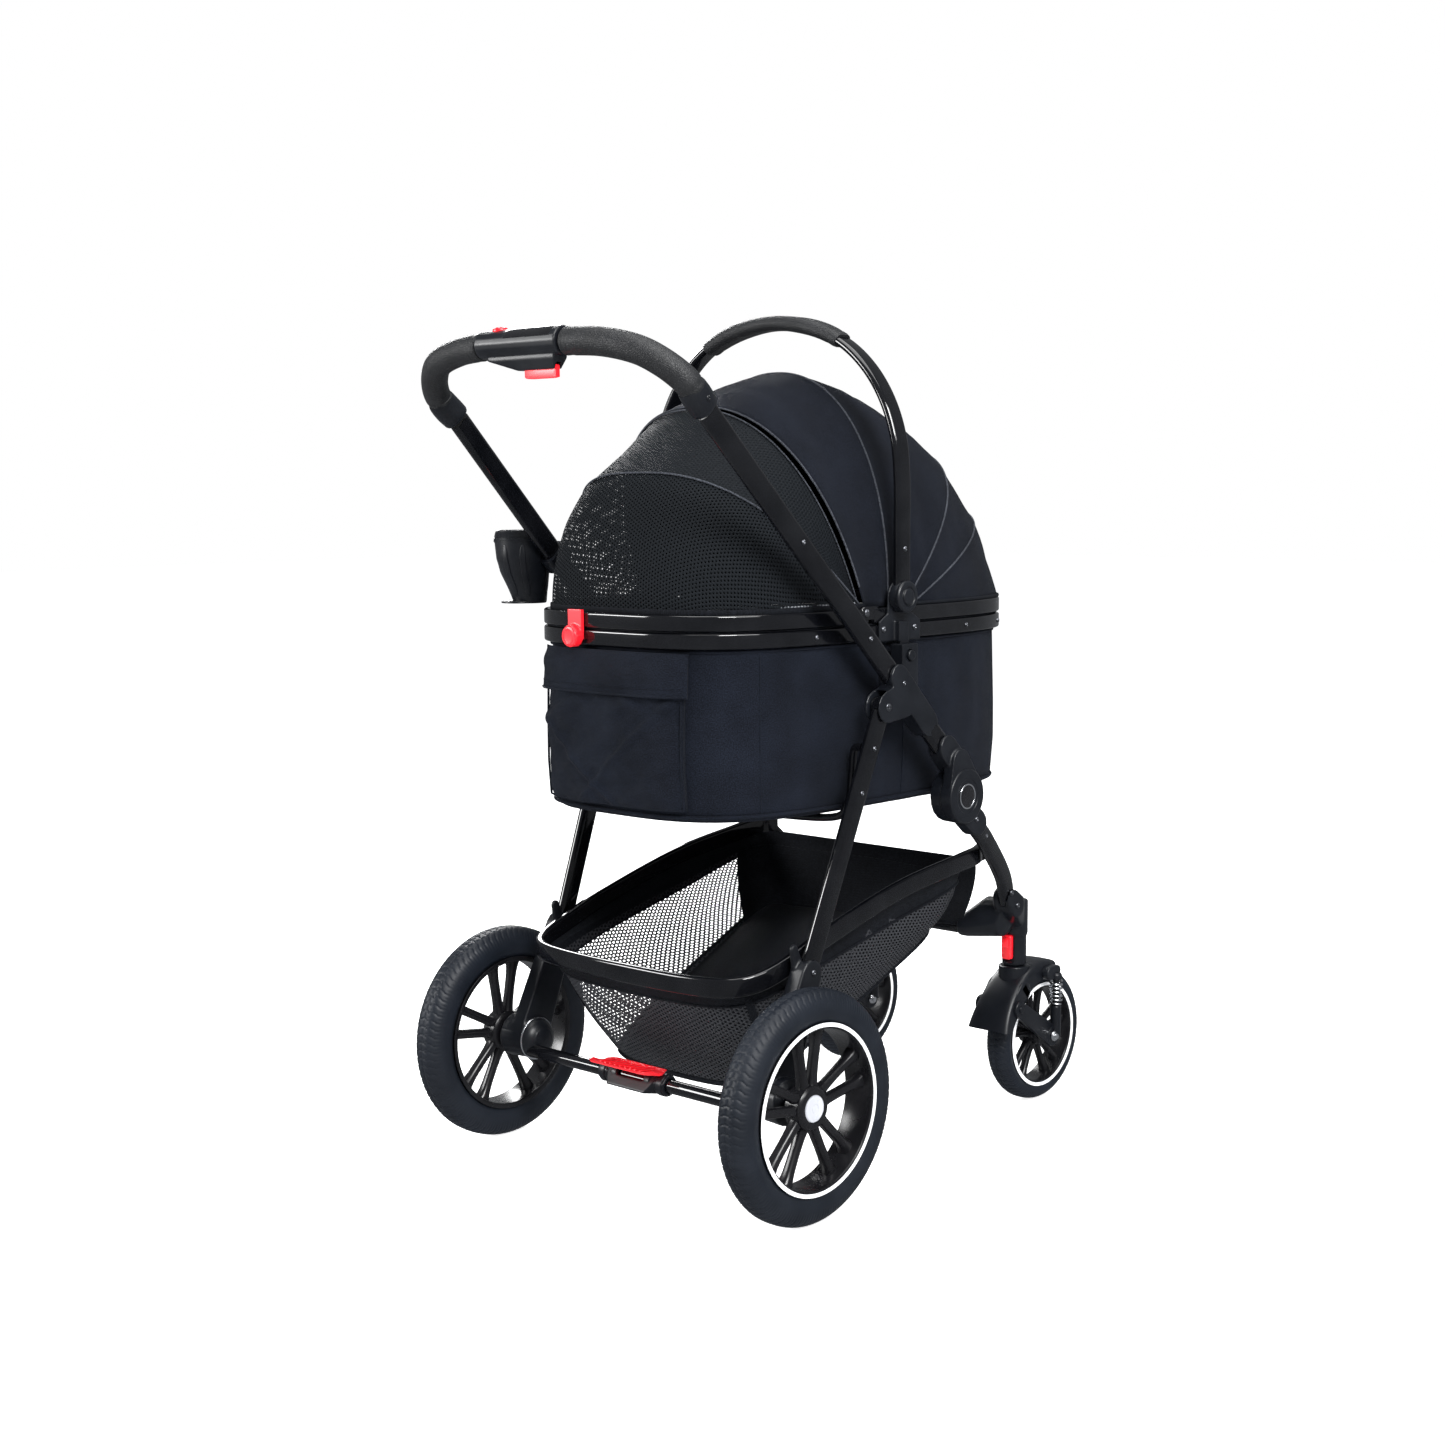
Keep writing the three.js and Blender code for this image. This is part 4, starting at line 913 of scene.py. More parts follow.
def rear_bars():
    half = [(228.5, -166, 562), (214, -167, 558), (206, -172, 525), (204, -165, 488), (180, -150, 470)]
    path = catmull([*half, (0, -138, 468), *[(-x, y, z) for x, y, z in half[::-1]]], 12)
    enamel_tube("support_bar_enamel", sweep(path, circle(5, 20), (0, 1, 0.2)), "rear_frame", "support_bar")
    path = [(x, 14, 132) for x in np.linspace(-203.5, 203.5, 20)]
    enamel_tube("axle_enamel", sweep(path, circle(9, 32), (0, 1, 0)), "rear_frame", "axle_tube")
    moulded("brake_housing", SATIN, 1.1, 4, 0.5)
    for k, x in enumerate((-52, -30, 30, 52)):
        ring = soft_outline([(x - 5, 9.3), (x - 5, 14.4), (x + 5, 14.4), (x + 5, 9.3)], 1.2)
        build(f"brake_clamp_{k}", turned(ring, (0, 14, 132), "x", 36), SATIN, "rear_frame")
        screw(f"brake_screw_{k}", (x, 14, 146.2), (0, 0, 1), "rear_frame", 2.8)


def pedal():
    profile = catmull([(8, 150.4), (16, 148.4), (30, 149.2), (44, 151.6), (54, 154.4), (57, 156.2)], 5)
    n = len(profile)
    rows = []
    for x in np.linspace(-55, 50, 30):
        edge = min((x + 55) / 10, (50 - x) / 10, 1)
        k = math.sqrt(max(1 - (1 - edge) ** 2, 0.0)) * 0.5 + 0.5
        ring = []
        for i, (y, z) in enumerate(profile):
            ring.append((x, 30 + (y - 30) * k, z + 2.0 * math.sin(math.pi * i / (n - 1)) ** 0.5))
        for i, (y, z) in reversed(list(enumerate(profile))):
            ring.append((x, 30 + (y - 30) * k, z - 1.6 * math.sin(math.pi * i / (n - 1)) ** 0.5))
        rows.append(ring)
    neck = sweep([(0, 15, 142.4), (0, 15, 146), (0, 16, 149.4)], rounded(38, 9, 2.5), (1, 0, 0))
    build("brake_pedal_tread", merge(capped(rows), neck), RED, "pedal", ["brake_pedal"])
    ribs = [sweep([(x, 20, 151.8), (x, 32, 152.6), (x, 46, 154.8)], rounded(3.2, 1.6, 0.7, 2), (1, 0, 0))
            for x in np.linspace(-38, 34, 9)]
    build("brake_pedal_ribs", merge(*ribs), RED, "pedal")


# ---------- basket ----------
RAIL_HALF = [(191.5, -472, 386), (194.5, -458, 385.5), (200.5, -440, 384), (203, -395, 379), (203, -266, 360),
             (203, -122, 322), (202, -56, 299), (194, -6, 284),
             (168, 24, 278), (110, 37, 276)]
BAG_COLUMNS = 150
RAIL_PATH = catmull([*RAIL_HALF, (0, 42, 276), *[(-x, y, z) for x, y, z in RAIL_HALF[::-1]]], 12)


def bag_loop(t, out=0.0):
    """The bag's outline at a depth t from its top, 0, to its floor, 1."""
    top = [(188, -420), (190, -266), (188, -122), (186, -56), (176, -12), (150, 12), (100, 24), (0, 28)]
    low = [(146, -398), (150, -300), (146, -200), (136, -130), (126, -92), (110, -74), (70, -64), (0, -60)]
    rise = lambda y: 300 + (-122 - y) * (0.21 if y < -122 else 0.24)
    sink = lambda y: 116 + max(0.0, -62 - y) * 0.47
    ring = []
    for i, ((x, y), (u, v)) in enumerate(zip(top, low)):
        belly = math.sin(math.pi * t) * 12
        px = x + (u - x) * t + (belly + out if x > 0 else 0)
        py = y + (v - y) * t + (out if i > 4 else 0) - (out if i == 0 else 0)
        ring.append((px, py, rise(y) + (sink(v) - rise(y)) * t))
    front = []
    for x, y in ((95, -436), (0, -440)):
        v = -410 - (4 if x == 0 else 0)
        front.append((x, y + (v - y) * t - out, rise(y) + (sink(v) - rise(y)) * t))
    half = [front[0], *ring]
    loop = [*half, *[(-x, y, z) for x, y, z in half[::-1] if x > 0.01], front[1]]
    closed = np.array([*loop[-3:], *loop, *loop[:4]])
    dense = catmull(closed, 8)
    dense = dense[3 * 8 : (3 + len(loop)) * 8]
    wide = np.vstack([dense, dense[:1]])
    s = run_of(wide)
    return point_at(wide, s, np.linspace(0, s[-1], BAG_COLUMNS, endpoint=False))


def bag_panel(t0, t1, out, rows=10):
    pts = []
    for t in np.linspace(t0, t1, rows):
        ring = bag_loop(t, out)
        for p in ring:
            ripple = 1.6 * wobble(p[0] * 0.018, p[1] * 0.018, p[2] * 0.02)
            p[0] += math.copysign(ripple, p[0])
            p[1] += ripple * 0.6
        pts.append(ring)
    return np.array(pts)


def under_rail(ring, k):
    """The bag's top edge carried up to the underside of the rail; k is 1 at the rail."""
    out = ring.copy()
    for i, p in enumerate(ring):
        near = RAIL_PATH[int(np.argmin(np.linalg.norm(RAIL_PATH[:, :2] - p[:2], axis=1)))]
        if p[1] > -432:
            inward = np.array((0, -250.0)) - near[:2]
            spot = near[:2] + inward / np.linalg.norm(inward) * 3.0
            out[i] = p + (np.array((*spot, near[2] - 9.0)) - p) * k
        else:
            out[i] = p + np.array((0, 0, 14.0)) * k
    return out


def basket():
    enamel_tube("basket_rail_enamel", sweep(RAIL_PATH, rounded(25, 11, 4.2, 5), (0, 0, 1)), "basket", "basket_rail")
    rows = bag_panel(0.06, 0.985, 0.3, 30)
    net = build("basket_net_wall", grid(rows, wrap=True), BASKET_NET, "basket", ["basket_bag"])
    top = bag_loop(0.0, 1.0)
    edge = [under_rail(top, k) for k in (1.0, 0.75, 0.5, 0.25, 0.0)]
    edge += [bag_loop(t, 1.2) for t in (0.05, 0.1, 0.14)]
    build("basket_band", grid(np.array(edge), wrap=True), WEBBING, "basket")
    edge = bag_panel(0.93, 0.985, 1.1, 4)
    last = edge[-1]
    centre = last.mean(0)
    floor = []
    for k in (0.9, 0.7, 0.45, 0.2, 0.0):
        ring = centre + (last - centre) * k
        ring[:, 2] = last[:, 2] * k + (116 + np.maximum(0, -62 - ring[:, 1]) * 0.47) * (1 - k) - 1.5 + 2.5 * k
        floor.append(ring)
    build("basket_floor", grid(np.concatenate([edge, floor]), wrap=True), WEBBING, "basket")
    straps = []
    for side in (1, -1):
        c = int(np.argmin(np.linalg.norm(top[:, :2] - (side * 172, -6), axis=1)))
        path = np.array([bag_loop(t, 1.9)[c] for t in np.linspace(0.02, 0.97, 18)])
        near = bag_loop(0.4, 1.9)
        straps.append(sweep(path, rounded(10, 1.4, 0.6, 2), near[(c + 1) % BAG_COLUMNS] - near[c - 1]))
    build("basket_straps", merge(*straps), WEBBING, "basket")
    front = bag_panel(0.06, 0.985, -1.2, 16)
    order = [c for c in range(BAG_COLUMNS) if front[0][c][1] < -385]
    order.sort(key=lambda c: math.atan2(front[0][c][0], -(front[0][c][1] + 385)))
    build("basket_front_panel", grid(front[:, order]), WEBBING, "basket")
    build("basket_hem", sweep(bag_loop(0.14, 1.6), circle(1.8, 10), (0, 0, 1), closed=True), WEBBING, "basket")
    build("basket_floor_piping", sweep(bag_loop(0.95, 1.8), circle(2.2, 10), (0, 0, 1), closed=True), WEBBING,
          "basket")


# ---------- carrier rims ----------
def band(path, closed=False):
    """A glossy moulded band with eased edges."""
    return sweep(path, rounded(RIM_WALL, 19.4, 2.6, 5), outward(path, closed), closed=closed)


def outward(path, closed):
    t = (np.roll(path, -1, 0) - np.roll(path, 1, 0)) if closed else np.gradient(path, axis=0)
    n = np.cross(t, (0, 0, 1.0))
    return n / np.linalg.norm(n, axis=1)[:, None]


def rims():
    ring = plan(-RIM_WALL / 2, 702)
    build("lower_rim_band", band(ring, True), RIM_GLOSS, "carrier", ["lower_rim"])
    ring = plan(-RIM_WALL / 2, 724, 320)
    y, z = DOOR_PIVOT
    rolled = np.roll(ring, -nearest(ring, y, 1), 0)
    rear = rolled[rolled[:, 1] > y - DOOR_END]
    rolled = np.roll(ring, -nearest(ring, y - FRONT_END, -1), 0)
    front = rolled[rolled[:, 1] < y - FRONT_END]
    build("upper_rim_rear_band", band(rear), RIM_GLOSS, "rear_door", ["upper_rim_rear"])
    build("upper_rim_front_band", band(front), RIM_GLOSS, "carrier", ["upper_rim_front"])
    seal = plan(-RIM_WALL / 2 - 1, 713)
    build("rim_seal", sweep(seal, rounded(5, 2.0, 0.8, 2), outward(seal, True), closed=True), WEBBING, "carrier")
    for side, word in SIDES:
        x = RIM_A - RIM_WALL - 3.2
        guard = sweep([(x, y - 34, 722), (x, y - 10, 722), (x, y + 24, 722)], rounded(2.4, 21, 0.9, 2), (1, 0, 0))
        build(f"rim_guard_{word}", guard, WEBBING, "carrier", side=side)
    for side, word in SIDES:
        lug = soft_outline([(195.9, 0.01), (195.9, 9.2), (199.3, 9.2), (199.3, 0.01)], 0.8)
        build(f"door_lug_{word}", turned(lug, (0, y, z), "x", 40), RIM_GLOSS, "rear_door", side=side)
        ear = sweep([(199.9, 0, 0), (201, 0, 0), (205.6, 0, 0), (206.5, 0, 0)], ear_section(), (0, 1, 0),
                    scale=[0.95, 1, 1, 0.95])
        verts = ear[0] + np.array((0, y - 8, z))
        build(f"door_ear_{word}", (verts, ear[1], ear[2]), RIM_GLOSS, "carrier", side=side)
        screw(f"door_bolt_{word}", (206.6, y, z), (1, 0, 0), "carrier", 5.2, side=side)
        outer = plan(0, 702, 200)
        for k, at in enumerate((-110, -420, -520)):
            i = nearest(outer, at, 1)
            n = outer[(i + 1) % 200] - outer[i - 1]
            screw(f"rim_screw_{k}_{word}", outer[i], (n[1], -n[0], 0), "carrier", 3.2, side=side)
    moulded("rim_latch", RED, 1.0, 3, 0.6)
    dial = soft_outline([(75, 0.01), (75, 13.2), (77.6, 12.6), (78.4, 9), (77.6, 8.2), (77.6, 0.01)], 1.2)
    dial_piece = build("rim_latch_dial", turned(dial, (0, 0, 0), "y", 48), RED, "latch")
    dial_piece.data.transform(Matrix.Translation((0.048, 0, 0.704)))


def ear_section():
    """A rounded lug outline in the side view, long towards the front."""
    return np.array([(a, b) for a, b in rounded(38, 17.5, 8.5, 6)])


def arch_bracket(side, word):
    moulded(f"rim_bracket_{word}", SATIN, 1.1, 4, 0.5)
    for k, (dy, z) in enumerate(((-34, 706), (30, 706))):
        screw(f"rim_bracket_screw_{k}_{word}", (210.8, ARCH_Y + dy, z), (1, 0, 0), "carrier", 4.0, side=side)
    face = soft_outline([(221, 0.01), (221, 20.6), (225.5, 20.6), (227.4, 18.6), (227.6, 13.4), (226.2, 12.8),
                         (226.2, 11.0),
                         (228.4, 10.4), (229.0, 8.6), (229.2, 0.01)], 0.8)
    build(f"arch_hub_{word}", turned(face, (0, ARCH_Y, ARCH_Z), "x", 60), SATIN, "carry_handle", side=side)
    back = soft_outline([(211.2, 8.6), (211.2, 20.3), (221.2, 20.3), (221.2, 8.6)], 0.8)
    build(f"arch_eye_{word}", turned(back, (0, ARCH_Y, ARCH_Z), "x", 60), SATIN, "carry_handle", side=side)
    screw(f"arch_screw_{word}", (221.2, ARCH_Y, 808), (1, 0, 0), "carry_handle", 3.6, side=side)


def arch_path(per=12):
    x, y, top = ARCH_X, ARCH_Y, ARCH_TOP
    half = [(x, y, ARCH_Z), (x, y, 830), (x, y, 895), (x - 6, y, 950), (x - 24, y, 998), (x - 54, y, 1040),
            (x - 95, y, 1073), (x - 148, y, 1095)]
    return catmull([*half, (0, y, top), *[(-u, v, w) for u, v, w in half[::-1]]], per)


def carry_arch():
    path = arch_path()
    section = []
    for a, b in oval(11, 28, 44):
        groove = 0.9 * bell(b, 2.4)
        section.append((b, math.copysign(abs(a) - groove, a)))
    enamel_tube("carry_arch_enamel", sweep(path, np.array(section), (0, 1, 0)), "carry_handle", "carry_arch")
    cover = path[(path[:, 0] < 118) & (path[:, 0] > -118) & (path[:, 2] > 1000)]
    k = np.linspace(0, 1, len(cover))
    swell = 1 - 0.03 * np.cos(4 * math.pi * k)
    for ring in (0.035, 0.965, 0.06, 0.94):
        swell -= 0.05 * np.exp(-(((k - ring) / 0.007) ** 2))
    swell[0] = swell[-1] = 0.9
    build("arch_grip_foam", sweep(cover, np.array([(b, a) for a, b in oval(20, 33, 44)]), (0, 1, 0), scale=swell),
          GRIP,
          "carry_handle", ["arch_sleeve"])


# ---------- canopy ----------
REACH_AT = (0, 15, 30, 43, 57, 73, 89, 113, 137, 156, 168, 180)
REACH = (314, 317, 318, 307, 302, 300, 303, 301, 303, 310, 318, 333)
FOOT_AT = (0, 57, 89, 137, 156, 180)
FOOT_Y = (-204, -204, -252, -285, -300, -300)
CANOPY_Z, CANOPY_Y, CANOPY_A = 734.6, -266.0, 198.0
CORDS = ((33, "rear_door", 1.3), (56.4, "rear_door", 1.0), (57.8, "carrier", 1.3), (89, "carrier", 1.4),
         (137, "carrier", 1.3), (156, "carrier", 1.3))


def hoop(angle, count, out=0.0):
    """Points over the carrier at an angle from the rear, left foot to right foot.

    The rear door's part tucks in under the front's.
    """
    reach = np.interp(angle, REACH_AT, REACH) + out
    foot = np.interp(angle, FOOT_AT, FOOT_Y)
    a = math.radians(angle)
    top = np.array((CANOPY_Y + reach * math.cos(a), CANOPY_Z + reach * math.sin(a)))
    lean = top - (foot, CANOPY_Z)
    power = 3.3 - 1.15 * math.sin(a)
    tuck = 1.0 if angle > 57.5 else 1 - 0.045 * min(max((angle - 22) / 30, 0.0), 1.0)
    pts = []
    for t in np.linspace(0, math.pi, count):
        t = t - 0.16 * math.sin(2 * t)
        x, r = superellipse(t, CANOPY_A + out, 1.0, power)
        pts.append((x * tuck, foot + lean[0] * r, CANOPY_Z + lean[1] * r))
    return np.array(pts)


def panel(a0, a1, rows, count=97, sag=5.0, out=0.0, wrinkle=1.0):
    """Cloth stretched between two hoops, drawn in a little between them."""
    pts = []
    for k in np.linspace(0, 1, rows):
        ring = hoop(a0 + (a1 - a0) * k, count, out)
        centre = np.array((0, -230, CANOPY_Z))
        j = np.linspace(0, 1, count)
        pull = sag * math.sin(math.pi * k) * np.sin(math.pi * j) ** 0.7
        away = ring - centre
        away /= np.linalg.norm(away, axis=1)[:, None]
        for i, p in enumerate(ring):
            low = max(0.0, 1 - (p[2] - CANOPY_Z) / 150)
            crease = wobble(p[0] * 0.006, p[1] * 0.03, p[2] * 0.012 + a0)
            fine = wobble(p[0] * 0.03, p[1] * 0.05, p[2] * 0.03)
            swell = (crease * 4.6 * (0.4 + low) + fine * 1.2) * wrinkle * math.sin(math.pi * k) ** 0.5
            ring[i] = p - away[i] * pull[i] + away[i] * swell
        pts.append(ring)
    return np.array(pts)


def canopies():
    mesh_rows = np.concatenate([panel(0, 33, 14, sag=-2.0, wrinkle=0.6),
                                panel(33, 57, 13, sag=5.0, wrinkle=0.6)[1:]])
    rear = build("canopy_net", grid(mesh_rows, flip=True), [HEX_MESH, HEX_MESH_CLOSE], "rear_door", ["canopy_rear"])
    for f in rear.data.polygons:
        f.material_index = int(f.index >= 13 * (mesh_rows.shape[1] - 1))
    cloth_rows = np.concatenate([panel(57.8, 89, 16, sag=5.0), panel(89, 137, 20, sag=7.0)[1:],
                                 panel(137, 156, 10, sag=3.0)[1:],
                                 panel(156, 180, 14, sag=2.0)[1:]])
    front = build("canopy_cloth_front", grid(cloth_rows, flip=True), CLOTH, "carrier", ["canopy_front"])
    thick = front.modifiers.new("thickness", "SOLIDIFY")
    thick.thickness, thick.offset = 0.0012, -1
    for k, (angle, body, r) in enumerate(CORDS):
        cord = hoop(angle, 120, 1.4)
        if k == 2:  # its feet stop above the door's path
            cord = cord[4:-4] + (0, -0.6, 0)
        build(f"canopy_piping_{k}", sweep(cord, circle(r, 10), (0, 0.6, 0.8)), PIPING, body)
    hem = hoop(0, 120, 1.0)
    build("canopy_net_hem", sweep(hem + (0, 0, 2.2), rounded(2.0, 7, 0.9, 2), outward(hem, False)), WEBBING,
          "rear_door")
    hem = hoop(180, 120, 1.0)
    build("canopy_front_hem", sweep(hem + (0, 0, 1.2), circle(2.6, 10), (0, 0, 1)), WEBBING, "carrier")
    dots = []
    for s in (1, -1):
        for y in np.arange(-186, -60, 5.2):
            x = RIM_A * (1 - (abs(y - RIM_Y) / RIM_B) ** RIM_POWER) ** (1 / RIM_POWER) - 7.4
            dots.append(sweep([(s * x, y, 741), (s * x, y + 1.4, 741.4), (s * x, y + 2.8, 741)], circle(1.0, 6),
                              (0, 0, 1)))
    build("canopy_stitches", merge(*dots), STITCH, "rear_door")


# ---------- tub ----------
TUB_COLUMNS = 220


def tub_grow(z):
    return float(np.interp(z, (476, 486, 540, 590, 640, 692), (-20, -11, -7.5, -7.6, -8.6, -9.6)))


def tub_side(x, z):
    """Where the tub's rear wall is at an x and z, and which way it faces there."""
    a, b = RIM_A + tub_grow(z), RIM_B + tub_grow(z)
    k = min(abs(x) / a, 0.995)
    y = RIM_Y + b * (1 - k**RIM_POWER) ** (1 / RIM_POWER)
    n = np.array((math.copysign((abs(x) / a) ** (RIM_POWER - 1) / a, x), ((y - RIM_Y) / b) ** (RIM_POWER - 1) / b,
                  0.0))
    return np.array((x, y, z)), n / np.linalg.norm(n)


def shrunk(ring, k, z):
    """A ring drawn in towards the carrier's middle, at a height."""
    return np.stack([ring[:, 0] * k, RIM_Y + (ring[:, 1] - RIM_Y) * k, np.full(len(ring), float(z))], axis=1)


def tub():
    rows = []
    heights = [478, 480, 484, 490, *np.linspace(498, 692, 34)]
    for z in heights:
        ring = plan(tub_grow(z), z, TUB_COLUMNS)
        for p in ring:
            broad, fine = wobble(p[0] * 0.01, p[1] * 0.014, z * 0.008), wobble(p[0] * 0.04, p[1] * 0.05, z * 0.022)
            p[0] += 2.0 * broad + 0.9 * fine
            p[1] += 1.0 * wobble(p[0] * 0.012, p[1] * 0.01, z * 0.006 + 9)
        rows.append(ring)
    floor = [shrunk(rows[0], k, 476.5 - 2.5 * math.cos(k * math.pi / 2)) for k in (0.0, 0.3, 0.6, 0.85, 0.97)]
    inside = [plan(tub_grow(z) - 3.2, z, TUB_COLUMNS) for z in np.linspace(691, 484, 12)]
    inner_floor = [shrunk(inside[-1], k, 482.2) for k in (0.96, 0.6, 0.0)]
    whole = np.array([*floor, *rows, *inside, *inner_floor])
    build("tub_cloth_body", grid(whole, wrap=True), TUB_CLOTH, "carrier", ["tub"])
    for k, (z, extra, r) in enumerate(((485, 1.4, 2.6), (689, 0.6, 2.0))):
        build(f"tub_piping_{k}", sweep(plan(tub_grow(z) + extra, z, TUB_COLUMNS), circle(r, 10), (0, 0, 1),
                                       closed=True), TUB_CLOTH, "carrier")
    seams = []
    for y in (0.72, -0.05, -0.78):
        for mirror in (1, -1):
            path = []
            for z in np.linspace(487, 690, 30):
                ring = plan(tub_grow(z) + 0.5, z, TUB_COLUMNS)
                path.append(ring[nearest(ring, RIM_Y + y * RIM_B, mirror)])
            seams.append(sweep(path, circle(0.9, 8), (0, 1, 0)))
    build("tub_seams", merge(*seams), TUB_CLOTH, "carrier")
    pocket()
    front_pocket()


def stand_off(x0, x1, z0, z1, depth, across, up, skirt=2.5):
    """A cloth patch standing off the tub's rear wall; depth(u, v) in millimetres, u and v from -1 to 1."""
    rows = []
    for j in range(up + 2):
        v = min(max((j - 1) / (up - 1), 0), 1) * 2 - 1
        row = []
        for i in range(across + 2):
            u = min(max((i - 1) / (across - 1), 0), 1) * 2 - 1
            x, z = x0 + (x1 - x0) * (u + 1) / 2, z0 + (z1 - z0) * (v + 1) / 2
            at, n = tub_side(x, z)
            edge = i in (0, across + 1) or j in (0, up + 1)
            row.append(at + n * (-skirt if edge else depth(u, v)))
        rows.append(row)
    return np.array(rows)


def pocket():
    x0, x1 = -117.0, 118.0

    def body(u, v):
        round_off = 1 - 0.4 * abs(u) ** 12 - 0.3 * max(-v, 0) ** 12
        fold = wobble(u * 1.3 + v * 1.9, v * 1.6 - u, 4.0) * 7.0 + wobble(u * 3 + v * 5, v * 3 - u * 4, 8.0) * 3.2
        crease = 5.4 * bell(u + 0.8 * v + 0.45, 0.07) + 4.4 * bell(u - 0.9 * v - 0.75, 0.06)
        pull = 2.6 * bell(v - 0.55 - 0.25 * math.cos(3 * u), 0.07)
        return (13.0 + 4.0 * (1 - u * u) * (1 - 0.5 * v * v) + fold + crease - pull) * round_off

    rows = stand_off(x0, x1, 493, 668, body, 90, 70)
    build("pocket_cloth", grid(rows), TUB_CLOTH, "carrier")

    def flap(u, v):
        wave = 2.4 * wobble(u * 2.2, v * 1.4, 2.0) + 0.9 * wobble(u * 6, v * 3, 5.0)
        return (18.0 + 2.0 * (1 - u * u) + wave) * (1 - 0.42 * max(v, 0) ** 2) * (1 - 0.25 * abs(u) ** 12)

    rows = stand_off(x0 - 5, x1 + 5, 633, 688, flap, 70, 24, skirt=-9.5)
    build("pocket_flap", grid(rows), TUB_CLOTH, "carrier")
    lines = []
    for z, r in ((635, 1.3), (644, 0.5)):
        path = []
        for u in np.linspace(-0.97, 0.97, 60):
            at, n = tub_side(x0 - 5 + (x1 - x0 + 10) * (u + 1) / 2, z)
            v = (z - 633) / 55 * 2 - 1
            path.append(at + n * (flap(u, v) + 0.2))
        lines.append(sweep(path, circle(r, 8), (0, 0, 1)))
    build("pocket_flap_binding", merge(*lines), TUB_CLOTH, "carrier")
    edge = []
    for u in (-1, 1):
        path = []
        for z in np.linspace(495, 636, 30):
            x = x0 + (x1 - x0) * (u * 0.985 + 1) / 2
            at, n = tub_side(x, z)
            path.append(at + n * 9.8)
        edge.append(sweep(path, circle(1.5, 8), (1, 0, 0)))
    path = []
    for u in np.linspace(-0.985, 0.985, 50):
        at, n = tub_side(x0 + (x1 - x0) * (u + 1) / 2, 495)
        path.append(at + n * 9.8)
    edge.append(sweep(path, circle(1.5, 8), (0, 0, 1)))
    build("pocket_piping", merge(*edge), TUB_CLOTH, "carrier")


def front_pocket():
    """The bulging pouch at the front of the tub."""
    rows = []
    for v in np.linspace(-1, 1, 26):
        row = []
        for u in np.linspace(-1, 1, 40):
            x, z = 88 * u, 606 + 76 * v
            at, n = tub_side(x, z)
            at[1] = 2 * RIM_Y - at[1]
            d = 17 * max(0.0, (1 - abs(u) ** 4) * (1 - abs(v) ** 4)) ** 0.5 + 0.8 * wobble(u * 3, v * 3, 1)
            edge = abs(u) > 0.999 or abs(v) > 0.999
            row.append(at + np.array((n[0], -n[1], 0)) * (-2.5 if edge else d))
        rows.append(row)
    build("front_pouch_cloth", grid(np.array(rows), flip=True), TUB_CLOTH, "carrier")
    path = [(88 * u * 0.96, 2 * RIM_Y - tub_side(88 * u, 668)[0][1] - 12 - 2 * (1 - u * u), 668)
            for u in np.linspace(-1, 1, 40)]
    build("front_pouch_binding", sweep(path, circle(1.8, 8), (0, 0, 1)), TUB_CLOTH, "carrier")


def cushion():
    """A crowned pad: side walls drawn in between the corners, sewn channels across the top."""
    z0, height = 483.0, 24.0
    rows = []
    shape = [(0.0, 0.0), (0.55, 0.0), (0.9, 0.0), (0.975, 0.12), (1.0, 0.42), (0.985, 0.72), (0.93, 0.93),
             (0.8, 1.0), (0.6, 1.04),
             (0.4, 1.06), (0.2, 1.07), (0.0, 1.075)]
    for k, h in shape:
        ring = plan(-31, z0, 160)
        for p in ring:
            u, v = p[0] / 175, (p[1] - RIM_Y) / 297
            draw = 1 - 0.012 * math.cos(2 * math.atan2(v, u)) ** 2
            p[0] *= k * draw
            p[1] = RIM_Y + (p[1] - RIM_Y) * k * draw
            channel = 0.0
            if h > 0.85:
                for c in (-180, -90, 0, 90, 180):
                    channel += 4.0 * bell(p[1] - RIM_Y - c, 5.5)
            p[2] = z0 + height * h - channel * min(1, max(0, 1 - k) * 6)
        rows.append(ring)
    pad = build("floor_pad", grid(np.array(rows), wrap=True), LINING, "carrier", ["floor_cushion"])
    inflate(pad)
    build("floor_pad_piping", sweep(plan(-30.4, z0 + 12, 200), circle(1.8, 8), (0, 0, 1), closed=True), PIPING,
          "carrier")


def inflate(pad, frames=14, cap=0.005):
    """Cloth with a little pressure inside, then each point held near where it was drawn."""
    rest = np.array([v.co for v in pad.data.vertices])
    cloth = pad.modifiers.new("cloth", "CLOTH")
    s = cloth.settings
    s.use_pressure, s.uniform_pressure_force = True, 2.0
    s.effector_weights.gravity = 0.0
    s.tension_stiffness = s.compression_stiffness = 30
    s.quality = 4
    cloth.point_cache.frame_start, cloth.point_cache.frame_end = 1, frames
    for f in range(1, frames + 1):
        scene.frame_set(f)
    dg = bpy.context.evaluated_depsgraph_get()
    moved = np.array([v.co for v in pad.evaluated_get(dg).data.vertices])
    pad.modifiers.clear()
    scene.frame_set(1)
    step = moved - rest
    size = np.linalg.norm(step, axis=1)[:, None]
    final = rest + step * np.minimum(1, cap / np.maximum(size, 1e-9))
    final[:, 2] = np.maximum(final[:, 2], 0.4828)
    pad.data.vertices.foreach_set("co", final.astype(np.float32).ravel())
    pad.data.update()


# ---------- stage ----------
LAMPS = (  # name, place, watts, side of its square
    ("key", (-2.9, 1.6, 2.8), 170, 1.2),
    ("fill", (-3.5, 0.5, 2.9), 70, 1.5),
    ("back", (2.8, -1.6, 2.2), 80, 1.2),
    ("rear", (2.4, 3.0, 1.6), 110, 1.2),
    ("top", (-0.2, 0.2, 3.4), 90, 2.4),
)
LAMPS_AIM = (0, 0, 0.55)


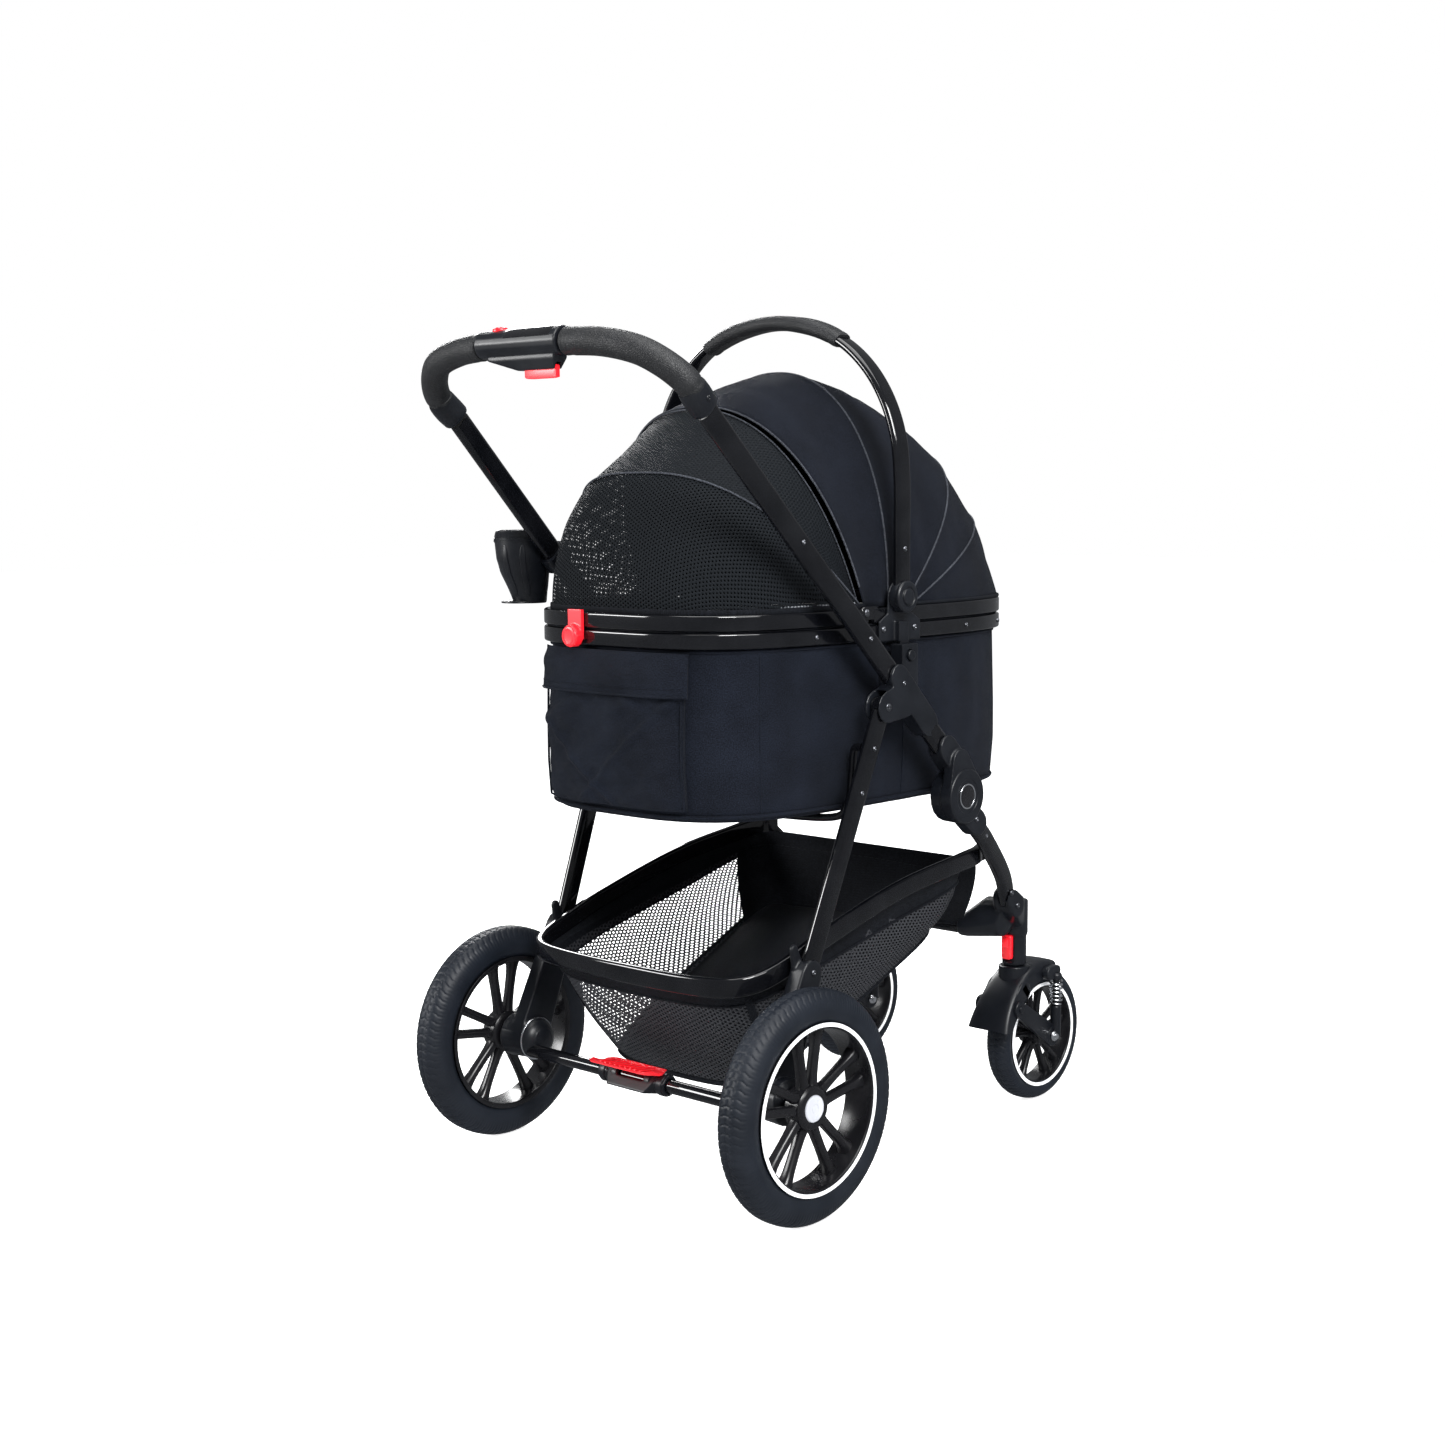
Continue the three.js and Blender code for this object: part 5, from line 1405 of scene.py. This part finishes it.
def stage():
    bpy.ops.mesh.primitive_plane_add(size=40, location=(0, 0, -0.0006))
    floor = bpy.context.object
    floor.name = "studio_floor"
    m = new_material("studio_floor", (0.94, 0.94, 0.94), 0.6)
    wire(m, ramp(m, noise_of(m, 1.2), [(0.2, (0.93, 0.93, 0.93)), (0.8, (0.95, 0.95, 0.95))]),
         shader(m).inputs["Base Color"])
    floor.data.materials.append(m)
    floor.visible_glossy = False
    shader(m).inputs["Emission Color"].default_value = (1, 1, 1, 1)
    shader(m).inputs["Emission Strength"].default_value = 0.82
    world = bpy.data.worlds.new("studio")
    world.use_nodes = True
    tree = world.node_tree
    soft = tree.nodes["Background"]
    soft.inputs[0].default_value, soft.inputs[1].default_value = (0.93, 0.96, 1.0, 1), 0.24
    bright = tree.nodes.new("ShaderNodeBackground")
    bright.inputs[0].default_value, bright.inputs[1].default_value = (1, 1, 1, 1), 1.0
    seen, mixed = tree.nodes.new("ShaderNodeLightPath"), tree.nodes.new("ShaderNodeMixShader")
    tree.links.new(seen.outputs["Is Camera Ray"], mixed.inputs[0])
    tree.links.new(soft.outputs[0], mixed.inputs[1])
    tree.links.new(bright.outputs[0], mixed.inputs[2])
    tree.links.new(mixed.outputs[0], tree.nodes["World Output"].inputs[0])
    scene.world = world
    scene.view_settings.view_transform = "Standard"
    for name, at, power, size in LAMPS:
        light = bpy.data.lights.new(name, "AREA")
        light.energy, light.shape, light.size = power, "SQUARE", size
        ob = bpy.data.objects.new(name, light)
        scene.collection.objects.link(ob)
        ob.location = at
        ob.rotation_mode = "QUATERNION"
        ob.rotation_quaternion = (Vector(LAMPS_AIM) - Vector(at)).to_track_quat("-Z", "Y")


CAMERA_AT, CAMERA_AZIMUTH, CAMERA_ELEVATION, CAMERA_ROLL = (-1.9154, 2.1483, 0.8896), 223.17, 6.34, -0.43
LENS, SENSOR = 53.02, 36.0


def camera():
    cam = bpy.data.cameras.new("camera")
    ob = bpy.data.objects.new("camera", cam)
    scene.collection.objects.link(ob)
    az, el, roll = (math.radians(d) for d in (CAMERA_AZIMUTH, CAMERA_ELEVATION, CAMERA_ROLL))
    back = Vector((math.sin(az) * math.cos(el), -math.cos(az) * math.cos(el), math.sin(el)))
    ob.location = CAMERA_AT
    turn = (-back).to_track_quat("-Z", "Y").to_matrix() @ Matrix.Rotation(roll, 3, "Z")
    ob.rotation_mode = "QUATERNION"
    ob.rotation_quaternion = turn.to_quaternion()
    cam.sensor_width, cam.lens = SENSOR, LENS
    cam.clip_start, cam.clip_end = 0.05, 100
    scene.camera = ob


# ---------- everything ----------
pairwise(main_tubes)
handle()
console()
cup()
pairwise(pivot_disc)
pairwise(tube_brackets)
pairwise(front_legs)
crossbar()
pairwise(casters)
pairwise(rear_wheels)
pairwise(front_wheels)
pairwise(rear_legs)
pairwise(rear_hubs)
rear_bars()
pedal()
basket()
rims()
pairwise(arch_bracket)
carry_arch()
canopies()
tub()
cushion()
stage()
camera()
